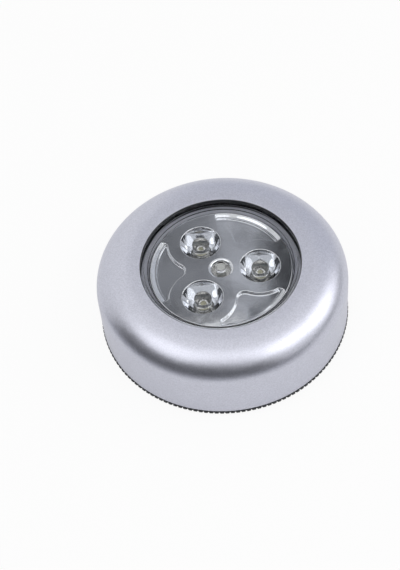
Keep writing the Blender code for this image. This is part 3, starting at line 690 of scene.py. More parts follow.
def finish_named(name, wire):
    """The material of that name, wired the first time that it is asked for."""
    found = bpy.data.materials.get(name)
    if found:
        return found
    made, mixer = new_finish(name)
    mixer.feed(made.node_tree.nodes["Principled BSDF"], wire(mixer, bpy.context.scene.puck_colours))
    return made


def silver_paint():
    """Satin silver paint with fine flakes and a faint orange peel; the opening's wall and the inner part of
    its rounded edge are black, as painted shade of the gap round the cover.
    """

    def wire(mixer, tints):
        s = bpy.context.scene.puck_housing
        flake = mixer.node("ShaderNodeSeparateColor", inputs={0: mixer.flakes(0.24 * MM, "Color")})
        grain = mixer.noise(0.5 * MM, 3.0, 0.6)
        cloud = mixer.noise(9.0 * MM, 2.0)
        sparkle = mixer.step(flake * 0.55 + grain * 0.45, 0.15, 0.85)
        peel = mixer.bump(mixer.noise(0.9 * MM, 2.0), 0.01 * MM, 0.35)
        x, y, z = (mixer.along(axis) for axis in range(3))
        # Inside the opening and below the top's edge the colour turns black: painted shade of the gap round
        # the cover
        start, end = s.opening + s.lip_round / 2, s.opening + s.lip_round
        outside = mixer.step(x * x + y * y, start**2, end**2)
        above = mixer.step(z, s.top - s.lip_round / 5, s.top - s.lip_round / 40)
        # painted is 1 where the silver paint shows and 0 where the black painted shade of the gap is
        painted = outside + (1.0 - outside) * above
        paint = mixer.blend(rgba(tints.silver_dark), rgba(tints.silver), sparkle)
        return {
            "Base Color": mixer.blend(rgba(tints.black), paint, painted),
            "Metallic": painted * 0.97,
            "Roughness": 0.3 + flake * 0.06 + cloud * 0.04,
            "Normal": mixer.bump(flake, 0.006 * MM, 0.4, peel),
        }

    return finish_named("silver paint", wire)


def bright_metallising():
    """A mirror coat with a little haze and slow waves. The flange is bare grey plastic; its outer part turns
    black, as painted shade of the gap under the housing's lip.
    """

    def wire(mixer, tints):
        radius = bpy.context.scene.puck_reflector.radius
        x, y = mixer.along(0), mixer.along(1)
        reach = x * x + y * y
        coated, uncoated = radius + 0.05 * MM, radius + 0.15 * MM
        # Past these radii the flange turns black: painted shade of the gap between the cover and the housing
        grey, black = radius + 2.0 * MM, radius + 2.35 * MM
        bare = mixer.step(reach, coated**2, uncoated**2)
        # edge is 0 on the grey flange and 1 where the black painted shade is full
        edge = mixer.step(reach, grey**2, black**2)
        plastic = mixer.blend(shaded(tints.silver_dark, 0.95), rgba(tints.black), edge)
        haze = mixer.noise(4.0 * MM, 3.0, 0.6)
        specks = mixer.noise(0.35 * MM, 2.0)
        waves = mixer.bump(mixer.noise(3.5 * MM, 1.0), 0.02 * MM, 0.5)
        coat = mixer.blend(shaded(tints.bright, 0.9), rgba(tints.bright), haze)
        return {
            "Base Color": mixer.blend(coat, plastic, bare),
            "Metallic": 1.0 - bare,
            "Roughness": 0.03 + mixer.step(haze, 0.35, 0.9) * 0.07 + specks * 0.02 + bare * 0.35,
            "Normal": waves,
        }

    return finish_named("bright metallising", wire)


def clear_plastic():
    """Polished clear plastic with the faintest ripple and haze."""

    def wire(mixer, tints):
        haze = mixer.noise(6.0 * MM, 3.0, 0.6)
        return {
            "Base Color": mixer.blend(shaded(tints.clear, 0.985), rgba(tints.clear), haze),
            "Roughness": 0.012 + mixer.step(haze, 0.4, 0.9) * 0.02,
            "IOR": 1.49,
            "Transmission Weight": 1.0,
            "Normal": mixer.bump(mixer.noise(5.0 * MM, 1.0), 0.01 * MM, 0.2),
        }

    return finish_named("clear plastic", wire)


def clear_epoxy():
    """Cast clear epoxy with small swirls."""

    def wire(mixer, tints):
        swirl = mixer.noise(0.8 * MM, 2.0, 0.6)
        return {
            "Base Color": mixer.blend(shaded(tints.clear, 0.97), rgba(tints.clear), swirl),
            "Roughness": 0.02 + swirl * 0.02,
            "IOR": 1.54,
            "Transmission Weight": 1.0,
            "Normal": mixer.bump(swirl, 0.012 * MM, 0.4),
        }

    return finish_named("clear epoxy", wire)


def moulded(name, tint_name, roughness, grain=0.35 * MM):
    """A moulded plastic with a fine spark-eroded grain and slow patches of sheen."""

    def wire(mixer, tints):
        tint = getattr(tints, tint_name)
        cloud = mixer.noise(7.0 * MM, 3.0, 0.6)
        fine = mixer.noise(grain, 3.0, 0.7)
        patches = cloud * 0.7 + fine * 0.3
        return {
            "Base Color": mixer.blend(shaded(tint, 0.86), shaded(tint, 1.12), patches),
            "Roughness": roughness + cloud * 0.08 - fine * 0.06,
            "Normal": mixer.bump(fine, 0.012 * MM, 0.6),
        }

    return finish_named(name, wire)


def foam():
    """Closed-cell foam: small pores all over, darker in their hollows as painted shade."""

    def wire(mixer, tints):
        pores = mixer.flakes(0.42 * MM)
        cloud = mixer.noise(5.0 * MM, 3.0)
        depth = mixer.step(pores, 0.1, 0.7)
        # The pores' hollows sink in the bump and turn darker: painted shade
        patches = depth * 0.7 + cloud * 0.3
        return {
            "Base Color": mixer.blend(shaded(tints.foam, 0.8), shaded(tints.foam, 1.04), patches),
            "Roughness": 0.86 + cloud * 0.1,
            "Normal": mixer.bump(depth, 0.06 * MM, 0.8),
        }

    return finish_named("foam", wire)


def plated_steel():
    """Nickel-plated sheet and wire with fine drawn lines and a few dull spots."""

    def wire(mixer, tints):
        lines = mixer.noise(0.3 * MM, 3.0, 0.6, stretch=(0.12, 1.0, 1.0))
        dull = mixer.step(mixer.noise(2.0 * MM, 4.0, 0.7), 0.55, 0.8)
        darker = dull * 0.6 + lines * 0.2
        return {
            "Base Color": mixer.blend(rgba(tints.steel), shaded(tints.steel, 0.72), darker),
            "Metallic": 1.0,
            "Roughness": 0.2 + lines * 0.14 + dull * 0.2,
            "Normal": mixer.bump(lines, 0.006 * MM, 0.4),
        }

    return finish_named("plated steel", wire)


def green_board():
    """A circuit board: green solder mask, tracks that show through it, a faint weave and white ink."""

    def wire(mixer, tints):
        leds = bpy.context.scene.puck_led
        circle = bpy.context.scene.puck_reflector.cup_circle
        track = 1.0 - mixer.step(mixer.flakes(4.2 * MM, feature="DISTANCE_TO_EDGE"), 0.1, 0.16)
        weave = mixer.ripple(0, 0.5 * MM) * mixer.ripple(1, 0.5 * MM)
        cloud = mixer.noise(3.0 * MM, 3.0)
        patches = weave * 0.3 + cloud * 0.7
        mask = mixer.blend(shaded(tints.board, 0.85), shaded(tints.board, 1.1), patches)
        covered = mixer.blend(mask, rgba(tints.copper), track)
        ink_end = leds.ink + 0.1 * MM
        free_of_ink = 1.0
        for x, y in [(0.0, 0.0), *(polar(circle, angle) for angle in led_angles(leds))]:
            aside, ahead = mixer.along(0) - x, mixer.along(1) - y
            beyond = mixer.step(aside * aside + ahead * ahead, leds.ink**2, ink_end**2)
            free_of_ink = free_of_ink * beyond
        return {
            "Base Color": mixer.blend(rgba(tints.ink), covered, free_of_ink),
            "Roughness": 0.3 + cloud * 0.12 - track * 0.05,
            "Normal": mixer.bump(track * 0.8 + weave * 0.1, 0.03 * MM, 0.7),
        }

    return finish_named("green board", wire)


def cell_jacket(name, tint_name, metallic):
    """A shrunk cell jacket: long faint creases, lighter along their raised lines, and pale rougher patches.
    """

    def wire(mixer, tints):
        tint = getattr(tints, tint_name)
        crease = mixer.noise(1.4 * MM, 3.0, 0.6, stretch=(0.08, 1.0, 1.0))
        pale_patches = mixer.step(mixer.noise(2.2 * MM, 5.0, 0.7), 0.58, 0.74)
        # Lighter where the creases rise and in the pale patches
        lighter = crease * 0.6 + pale_patches * 0.4
        return {
            "Base Color": mixer.blend(shaded(tint, 0.85), shaded(tint, 1.3), lighter),
            "Metallic": metallic,
            "Roughness": 0.24 + crease * 0.12 + pale_patches * 0.1,
            "Normal": mixer.bump(crease, 0.02 * MM, 0.4),
        }

    return finish_named(name, wire)


def phosphor():
    """The yellow, slightly grainy phosphor over an LED's chip."""

    def wire(mixer, tints):
        grain = mixer.noise(0.12 * MM, 3.0, 0.7)
        return {
            "Base Color": mixer.blend(shaded(tints.phosphor, 0.85), shaded(tints.phosphor, 1.1), grain),
            "Roughness": 0.55 + grain * 0.2,
            "Normal": mixer.bump(grain, 0.02 * MM, 0.6),
        }

    return finish_named("phosphor", wire)


# Pieces


def settle(piece, body, slot, *nodes):
    """Sets a piece on the body that it rides on and hides the nodes that it stands for. The slot, its finish
    in the record, is not used.
    """
    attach(piece, body)
    if nodes:
        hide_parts(*nodes)


def dress(piece, body, slot, *nodes, angle=40.0, flat_heights=()):
    """Shades a piece and settles it."""
    even_shading(piece, angle, flat_heights)
    settle(piece, body, slot, *nodes)


def led_angles(sizes):
    """Where the LEDs and their cups are, round the middle."""
    return [tau * k / sizes.count for k in range(sizes.count)]


def catch_angles(sizes):
    """Where the housing's catches are when the base's lugs are locked over them."""
    return [sizes.catch_phase + tau * k / sizes.catches for k in range(sizes.catches)]


class PUCK_OT_housing(Operator):
    """The silver housing: wall, rounded shoulder, crowned top and lip, with its posts and catches inside"""

    bl_idname = "puck.housing"
    bl_label = "Housing"

    def shell(self, s):
        """The wall and the top, down to the rounded lip of the opening."""
        leaning = s.outer - s.draft
        shoulder_inner = leaning - s.shoulder_width
        inner_leaning = leaning - s.wall
        lip_under = s.top - s.lip
        inner_width = inner_leaning - shoulder_inner
        inner_height = s.shoulder_height - s.lip
        corners = [
            (s.outer, s.bottom, s.foot_round),
            (leaning, s.top - s.crown, s.shoulder_width, s.shoulder_height - s.crown),
            (s.opening, s.top, s.lip_round),
            (s.opening, lip_under, s.foot_round / 2),
            (inner_leaning, lip_under, inner_width, inner_height),
            (s.outer - s.wall, s.bottom, s.foot_round / 2),
        ]
        return turned(corners, SHELL_STEPS)

    def post(self, s, overlap):
        """A hollow post for a screw, standing under the top and sunk into it."""
        lip_under = s.top - s.lip
        corners = [
            (s.post / 2, s.post_foot),
            (s.post, s.post_foot, s.foot_round / 2),
            (s.post, lip_under + overlap),
            (0.0, lip_under + overlap),
            (0.0, lip_under - overlap),
            (s.post / 2, lip_under - overlap),
        ]
        return turned(corners, POST_STEPS)

    def execute(self, context):
        s = context.scene.puck_housing
        overlap = s.lip / 4
        bm = self.shell(s)
        for angle in (s.post_bearing, pi - s.post_bearing, pi + s.post_bearing, tau - s.post_bearing):
            add_to(bm, moved(self.post(s, overlap), (*polar(s.post_circle, angle), 0.0)))
        outer = s.outer - s.wall + overlap
        edge = s.foot_round / 3
        for middle in catch_angles(s):
            catch = sector(s.catch_inner, outer, s.catch_bottom, s.catch_top, middle, s.catch_span, edge)
            add_to(bm, catch)
        dress(piece_from("housing_shell", bm, silver_paint()), "lamp", "silver_paint", "housing")
        return {"FINISHED"}


class PUCK_OT_cover(Operator):
    """The clear cover with its rounded edge, flange and middle post"""

    bl_idname = "puck.cover"
    bl_label = "Clear cover"

    def execute(self, context):
        s = context.scene.puck_cover
        under = s.top - s.thickness
        inner = s.radius - s.wall
        corners = [
            (0.0, s.post_foot),
            (s.post, s.post_foot, s.fine),
            (s.post, under, s.fine),
            (inner, under, 2 * s.fine),
            (inner, s.flange_bottom, s.fine),
            (s.flange, s.flange_bottom, s.fine),
            (s.flange, s.flange_top, s.fine),
            (s.radius, s.flange_top, s.fine),
            (s.radius, s.top, s.edge),
            (0.0, s.top),
        ]
        piece = piece_from("clear_cover", turned(corners, SHELL_STEPS), clear_plastic())
        dress(piece, "lens", "clear_plastic", "lens_cover")
        return {"FINISHED"}


class PUCK_OT_reflector(Operator):
    """The bright reflector: a flat face with three cups, three leaf pockets and a middle hole"""

    bl_idname = "puck.reflector"
    bl_label = "Reflector"

    def leaf_loop(self, s, count, drop, inset, outward):
        """A leaf's outline at one depth, along +X: arcs that are mirrored, with the rim moved outward."""
        short_arc, long_arc = 8, 26
        half_turn = pi / count
        side = s.cup_circle * sin(half_turn) - s.leaf_neck / 2 + inset
        rim = s.radius - s.leaf_rim - s.leaf_slope - s.leaf_ledge - inset
        tip_round = s.leaf_tip - inset
        corner_round = s.leaf_corner - inset
        cup = polar(s.cup_circle, half_turn)
        tip = (cup[0] + sqrt((side + tip_round) ** 2 - cup[1] ** 2), 0.0)
        reach, span = rim - corner_round, side + corner_round
        cosine = (reach**2 + s.cup_circle**2 - span**2) / (2 * reach * s.cup_circle)
        corner_angle = half_turn - acos(cosine)
        corner = polar(reach, corner_angle)
        bm = bmesh.new()
        point = bmesh.ops.create_vert(bm, co=(tip[0] - tip_round, 0.0, s.face - drop))["vert"][0]
        point = swept(bm, point, tip, turn_between(pi, bearing(tip, cup)), short_arc)
        point = swept(bm, point, cup, turn_between(bearing(cup, tip), bearing(cup, corner)), long_arc)
        point = swept(bm, point, corner, turn_between(bearing(corner, cup), corner_angle), short_arc)
        swept(bm, point, (0.0, 0.0), -corner_angle, long_arc)
        start = corner_round * cos(bearing(corner, cup) - corner_angle)
        for point in bm.verts:
            beyond = (point.co.xy.length - rim + corner_round - start) / (corner_round - start)
            pushed_out(bm, point, outward * max(0.0, beyond))
        return mirrored_loop(bm)

    def leaf(self, s, count):
        """A leaf pocket: rounded edge, slope and ledge along the rim, steep wall, rounded foot and floor."""
        crest = s.leaf_round / 3
        outer = s.leaf_slope + s.leaf_ledge
        steep = s.leaf_slope / s.leaf_slope_depth
        # A station is how deep a loop lies, how far it is drawn in and how far its rim moves outward
        stations = []
        for inward, down in rolled(s.leaf_round):
            stations.append((down, inward - s.leaf_round, outer - steep * down))
        foot = s.leaf_slope_depth - crest / 2
        stations.append((foot, s.leaf_draft / 4, outer - steep * foot))
        stations.append((s.leaf_slope_depth, s.leaf_draft / 3, s.leaf_ledge))
        stations.append((s.leaf_slope_depth + crest / 4, s.leaf_draft / 2, crest))
        stations.append((s.leaf_slope_depth + crest, s.leaf_draft * 2 / 3, 0.0))
        for inward, up in reversed(rolled(s.leaf_round)):
            stations.append((s.leaf_depth - up, s.leaf_draft + s.leaf_round - inward, 0.0))
        bm = bmesh.new()
        loops = [loop_from(bm, self.leaf_loop(s, count, *station)) for station in stations]
        bridged(bm, loops)
        bmesh.ops.edgeloop_fill(bm, edges=loops[-1])
        return bm

    def cup(self, s, centre):
        """A cup: a rounded edge, then a bowl that narrows as a parabola to the hole for the LED."""
        bowl_rings = 14
        bm = bmesh.new()
        span = s.cup**2 - s.cup_hole**2
        steepness = atan2(2 * s.cup * s.cup_depth, span)
        mouth = s.cup + s.cup_round * sin(steepness / 2) / cos(steepness / 2)
        edge = rolled(s.cup_round, steepness)
        loops = [ring(bm, mouth - inward, s.face - down, CUP_STEPS, centre) for inward, down in edge]
        started = edge[-1][1] / s.cup_depth
        for k in range(1, bowl_rings + 1):
            depth = started + (1 - started) * k / bowl_rings
            radius = sqrt(s.cup_hole**2 + span * (1 - depth))
            loops.append(ring(bm, radius, s.face - s.cup_depth * depth, CUP_STEPS, centre))
        bridged(bm, loops)
        return bm

    def skirt(self, s):
        """The rounded rim and the side wall, with a notch at its foot for each lead."""
        bm = bmesh.new()
        start = s.radius - s.rim_round
        loops = [ring(bm, start + out, s.face - down, SHELL_STEPS) for out, down in rolled(s.rim_round)]
        notch_top = s.foot + s.notch_height
        for height in (notch_top, s.foot):
            loops.append(ring(bm, s.radius, height, SHELL_STEPS))
        bridged(bm, loops)
        half = s.notch / 2 / s.radius
        opened = []
        for face in bm.faces:
            middle = face.calc_center_median()
            for notch in (s.notch_bearing, s.notch_bearing - pi):
                off = abs(turn_between(notch, atan2(middle.y, middle.x)))
                if middle.z < notch_top and off < half:
                    opened.append(face)
        bmesh.ops.delete(bm, geom=opened, context="FACES")
        return bm

    def middle_hole(self, s):
        """The rounded rim of the hole over the switch."""
        bm = bmesh.new()
        mouth = s.middle + s.middle_round
        edge = rolled(s.middle_round)
        bridged(bm, [ring(bm, mouth - inward, s.face - down, HOLE_STEPS) for inward, down in edge])
        return bm

    def flange(self, s):
        """The flat ring round the side wall, under the cover's edge."""
        bottom = s.flange_top - s.flange_height
        inner = s.radius - s.wall / 2
        edge = s.flange_height / 8
        corners = [(inner, bottom), (s.flange, bottom, edge), (s.flange, s.flange_top, edge)]
        return turned([*corners, (inner, s.flange_top)], SHELL_STEPS)

    def execute(self, context):
        s = context.scene.puck_reflector
        leds = context.scene.puck_led
        bm = self.skirt(s)
        for angle in led_angles(leds):
            add_to(bm, self.cup(s, polar(s.cup_circle, angle)))
            turn = Matrix.Rotation(angle + pi / leds.count, 3, "Z")
            add_to(bm, moved(self.leaf(s, leds.count), ORIGIN, turn))
        add_to(bm, self.middle_hole(s))
        open_edges = level_edges(bm, s.face)
        bmesh.ops.triangle_fill(bm, use_beauty=True, use_dissolve=False, edges=open_edges, normal=UP)
        bmesh.ops.recalc_face_normals(bm, faces=bm.faces)
        # The mirror face shows whether the whole sheet points up
        on_mirror = min(bm.faces, key=lambda face: abs(face.calc_center_median().z - s.face))
        if on_mirror.normal.z < 0:
            bmesh.ops.reverse_faces(bm, faces=bm.faces)
        bmesh.ops.solidify(bm, geom=bm.faces[:], thickness=s.wall)
        add_to(bm, self.flange(s))
        piece = piece_from("bright_reflector", bm, bright_metallising())
        ledge = s.face - s.leaf_slope_depth
        flats = (s.face, ledge, ledge - s.leaf_round / 12, s.face - s.leaf_depth)
        dress(piece, "lamp", "bright_metallising", "reflector", flat_heights=flats)
        return {"FINISHED"}


class PUCK_OT_leds(Operator):
    """Three clear straw-hat LEDs, each with its frame and its yellow phosphor spot inside"""

    bl_idname = "puck.leds"
    bl_label = "LEDs"

    def body(self, s):
        """The clear body: a flange, a straight side and a shallow dome."""
        fine = s.flange_height / 10
        flange_top = s.seat + s.flange_height
        corners = [
            (0.0, s.seat),
            (s.flange, s.seat, fine),
            (s.flange, flange_top, fine * 2),
            (s.radius, flange_top, fine),
            (s.radius, s.top, s.radius * 0.98, s.dome),
            (0.0, s.top),
        ]
        return turned(corners, LED_STEPS)

    def metal(self, s, dish_foot, dish_floor, dish_top):
        """The two leads inside and under the body, the dish that one of them carries and the split plate."""
        half = s.lead / 2
        gap = s.lead_spacing / 2
        thin = s.sheet
        flange_top = s.seat + s.flange_height
        bar_foot = s.seat + s.flange_height / 2
        bar_top = dish_top - thin / 2
        bars = (
            (-gap - half, -gap + half, s.lead_foot, flange_top),
            (gap - half, gap + half, s.lead_foot, flange_top),
            (gap - half, gap + half, bar_foot, bar_top),
            (-gap - half, -gap + half, bar_foot, dish_foot + thin),
            (-gap, half, dish_foot, dish_foot + thin),
            (s.dish * 0.8, gap, bar_top - thin, bar_top),
        )
        bm = bmesh.new()
        for near, far, low, high in bars:
            add_to(bm, block((-half, near, low), (half, far, high), half / 5))
        corners = [
            (0.0, dish_foot),
            (s.spot, dish_foot, thin / 3),
            (s.dish, dish_top, thin / 8),
            (s.dish - thin / 2, dish_top, thin / 8),
            (s.spot, dish_floor, thin / 3),
            (0.0, dish_floor),
        ]
        add_to(bm, turned(corners, DISH_STEPS))
        slit = s.lead / 3 / s.plate
        plate_top = s.seat + s.flange_height / 3
        for side in (-1, 1):
            middle, span = side * pi / 2, pi - slit
            plate = sector(half / 5, s.plate, plate_top - thin / 2, plate_top, middle, span, thin / 8)
            add_to(bm, plate)
        return bm

    def dot(self, s, dish_floor, dish_top):
        """The phosphor that half fills the dish, heaped in the middle."""
        filled = (dish_floor + dish_top) / 2
        heap = filled + s.flange_height / 10
        corners = [(0.0, dish_floor), (s.spot, dish_floor), (s.spot * 1.2, filled), (0.0, heap)]
        return turned(corners, DISH_STEPS)

    def execute(self, context):
        s = context.scene.puck_led
        circle = context.scene.puck_reflector.cup_circle
        dish_foot = s.seat + s.flange_height * 0.9
        dish_floor = dish_foot + s.sheet * 1.4
        dish_top = dish_foot + s.flange_height * 0.9
        for number, angle in enumerate(led_angles(s), 1):
            spot = (*polar(circle, angle), 0.0)
            turn = Matrix.Rotation(angle, 3, "Z")
            body = moved(self.body(s), spot, turn)
            piece = piece_from(f"led_{number}_body", body, clear_epoxy())
            dress(piece, "lamp", "clear_epoxy", f"led_{number}")
            metal = moved(self.metal(s, dish_foot, dish_floor, dish_top), spot, turn)
            piece = piece_from(f"led_{number}_frame", metal, plated_steel())
            dress(piece, "lamp", "plated_steel")
            dot = moved(self.dot(s, dish_floor, dish_top), spot, turn)
            piece = piece_from(f"led_{number}_phosphor", dot, phosphor())
            dress(piece, "lamp", "clear_epoxy")
        return {"FINISHED"}


class PUCK_OT_base(Operator):
    """The black base with its gripping teeth, keyholes, inner ring and lugs, and the foam pad under it"""

    bl_idname = "puck.base"
    bl_label = "Base and pad"

    def teeth(self, s):
        """The outline of the toothed edge: one tooth with rounded corners, repeated all round."""
        half_pitch = pi / s.teeth
        half_tip = half_pitch * s.tip_share
        root = s.tip - s.depth
        tips = [polar(s.tip, -half_tip), polar(s.tip, half_tip)]
        bm = bmesh.new()
        corners = [polar(root, -half_pitch), *tips, polar(root, half_pitch)]
        points = [bm.verts.new((*corner, s.bottom)) for corner in corners]
        bm.faces.new(points)
        bmesh.ops.bevel(
            bm,
            geom=points[1:3],
            offset=s.tooth_round,
            offset_type="OFFSET",
            affect="VERTICES",
            segments=FEWEST_FACETS,
            profile=0.5,
            material=-1,
        )
        bmesh.ops.delete(bm, geom=bm.faces[:], context="FACES_ONLY")
        root_edge = [e for e in bm.edges if max(point.co.xy.length for point in e.verts) < root + WELD]
        bmesh.ops.delete(bm, geom=root_edge, context="EDGES_FACES")
        outline = bm.verts[:] + bm.edges[:]
        bmesh.ops.spin(
            bm, geom=outline, cent=ORIGIN, axis=UP, angle=tau, steps=s.teeth, use_duplicate=True
        )
        bmesh.ops.remove_doubles(bm, verts=bm.verts, dist=WELD)
        return bm

    def keyhole(self, s, side):
        """A keyhole's outline: a round head for a screw's head and a slot along +X for its neck."""
        slot_arc, head_arc = 12, 36
        half = s.slot / 2
        middle = s.slot_length / 2
        bm = bmesh.new()
        point = bmesh.ops.create_vert(bm, co=(middle + half, 0.0, s.bottom))["vert"][0]
        point = swept(bm, point, (middle, 0.0), pi / 2, slot_arc)
        straight = bmesh.ops.extrude_vert_indiv(bm, verts=[point])["verts"]
        neck = sqrt(s.head**2 - half**2)
        bmesh.ops.translate(bm, vec=(neck - s.slot_length, 0.0, 0.0), verts=straight)
        swept(bm, straight[0], (-middle, 0.0), pi - atan2(half, neck), head_arc)
        mirrored_loop(bm)
        return moved(bm, (0.0, side * s.keyhole_y, 0.0))

    def plate(self, s):
        """The toothed plate with its two keyholes, its level edges rounded."""
        bm = self.teeth(s)
        for side in (-1, 1):
            add_to(bm, self.keyhole(s, side))
        outlines = bm.edges[:]
        bmesh.ops.triangle_fill(bm, use_beauty=True, use_dissolve=False, edges=outlines, normal=UP)
        upper = bmesh.ops.extrude_face_region(bm, geom=bm.faces[:])["geom"]
        raised = [item for item in upper if isinstance(item, bmesh.types.BMVert)]
        bmesh.ops.translate(bm, vec=(0.0, 0.0, s.floor - s.bottom), verts=raised)
        bmesh.ops.recalc_face_normals(bm, faces=bm.faces)
        rims = [edge for edge in sharp_edges(bm) if abs(edge.verts[0].co.z - edge.verts[1].co.z) < WELD]
        rounded_edges(bm, rims, s.edge_round, loop_slide=False)
        return bm

    def collar(self, s, lug_angles):
        """The ring that stands inside the housing, and the lugs that lock over its catches."""
        fine = s.edge_round
        inner = s.spigot - s.spigot_wall
        sunk = s.floor - fine
        corners = [(inner, sunk), (s.spigot, sunk), (s.spigot, s.spigot_top, fine)]
        bm = turned([*corners, (inner, s.spigot_top, fine)], SPIGOT_STEPS)
        low = s.spigot_top - s.lug_height
        outer = s.spigot + s.lug_reach
        for middle in lug_angles:
            add_to(bm, sector(s.spigot - fine, outer, low, s.spigot_top, middle, s.lug_span, fine))
        return bm

    def execute(self, context):
        s = context.scene.puck_base
        bm = self.plate(s)
        add_to(bm, self.collar(s, catch_angles(context.scene.puck_housing)))
        piece = piece_from("toothed_base", bm, moulded("black plastic", "black", 0.42))
        dress(piece, "base", "black_plastic", "base_cover", angle=50.0)
        corners = [(0.0, 0.0), (s.pad, 0.0, s.pad_round), (s.pad, s.pad_top, s.pad_round), (0.0, s.pad_top)]
        piece = piece_from("foam_pad", turned(corners, PAD_STEPS), foam())
        dress(piece, "base", "foam", "adhesive_pad")
        return {"FINISHED"}


class PUCK_OT_cells(Operator):
    """The AAA cells with plain jackets, and the springs at their flat ends"""

    bl_idname = "puck.cells"
    bl_label = "Cells and springs"

    def cell(self, s):
        """A cell that stands on its flat end. Its jacket, band and bare ends are materials 0, 1 and 2."""
        can = s.length - s.nub_length
        edge = s.radius / 9
        corners = [
            (0.0, edge / 3),
            (s.radius - 2 * edge, edge / 3),
            (s.radius - 1.5 * edge, 0.0, edge / 8),
            (s.radius, 0.0, edge),
            (s.radius, can, edge),
            (s.radius - 1.5 * edge, can, edge / 8),
            (s.radius - 2 * edge, can - edge / 3),
            (s.nub, can - edge / 3),
            (s.nub, s.length, edge / 2),
            (0.0, s.length),
        ]
        bm = turned(corners, CELL_STEPS)
        band_foot = can - s.band
        whole = bm.verts[:] + bm.edges[:] + bm.faces[:]
        bmesh.ops.bisect_plane(bm, geom=whole, plane_co=(0.0, 0.0, band_foot), plane_no=UP)
        for face in bm.faces:
            middle = face.calc_center_median()
            covered = middle.xy.length > s.radius - 1.4 * edge
            face.material_index = int(middle.z > band_foot) if covered else 2
        return bm

    def execute(self, context):
        s = context.scene.puck_cell
        springs = context.scene.puck_spring
        jacket = cell_jacket("cell jacket", "jacket", 0.3)
        band = cell_jacket("cell band", "band", 0.8)
        for number in range(1, s.count + 1):
            end = 1 if number % 2 else -1
            turn = Matrix.Rotation(end * pi / 2, 3, "Y")
            low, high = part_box(f"aaa_cell_{number}")
            y = (low[1] + high[1]) / 2
            start = low[0] if end > 0 else high[0]
            bm = moved(self.cell(s), (start, y, s.axis), turn)
            piece = piece_from(f"cell_{number}", bm, jacket, band, plated_steel())
            dress(piece, "lamp", "cell_jacket", f"aaa_cell_{number}")
            low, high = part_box(f"battery_spring_{number}")
            start = low[0] if end > 0 else high[0]
            coil = spring(springs.foot, springs.tip, high[0] - low[0], springs.turns, springs.wire)
            coil = moved(coil, (start, y, s.axis), turn)
            piece = piece_from(f"cell_spring_{number}", coil, plated_steel())
            dress(piece, "lamp", "plated_steel", f"battery_spring_{number}")
        return {"FINISHED"}


class PUCK_OT_inner(Operator):
    """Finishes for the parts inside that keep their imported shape, and the spring under the plunger"""

    bl_idname = "puck.inner"
    bl_label = "Inner parts"

    def execute(self, context):
        s = context.scene.puck_spring
        black = moulded("black plastic", "black", 0.42)
        steel = plated_steel()
        finishes = {
            "battery_chassis": black,
            "circuit_board": green_board(),
            "resistor": moulded("resistor coat", "tan", 0.4, 0.2 * MM),
            "switch_body": black,
            "switch_cover": steel,
            "switch_plunger": moulded("white plastic", "white", 0.4),
            "wire_red": moulded("red insulation", "red", 0.38, 0.25 * MM),
            "wire_black": black,
        }
        for name, node in frame["nodes"].items():
            finish = steel if name.startswith(("contact_", "chassis_screw_")) else finishes.get(name)
            if finish:
                for slot in node.material_slots:
                    slot.material = finish
        low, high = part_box("return_spring")
        height = high[2] - low[2]
        foot = (0.0, 0.0, low[2])
        coil = spring(s.lift_radius, s.lift_radius, height, s.lift_turns, s.lift_wire)
        piece = piece_from("return_coil", moved(coil, foot), steel)
        piece.data.shade_smooth()
        settle(piece, "lamp", "plated_steel", "return_spring")
        press = next(joint for joint in frame["joints"] if joint["name"] == "plunger_press")
        travel = max(press["range_m"])
        1.0 - travel / height
        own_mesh(piece)
        return {"FINISHED"}


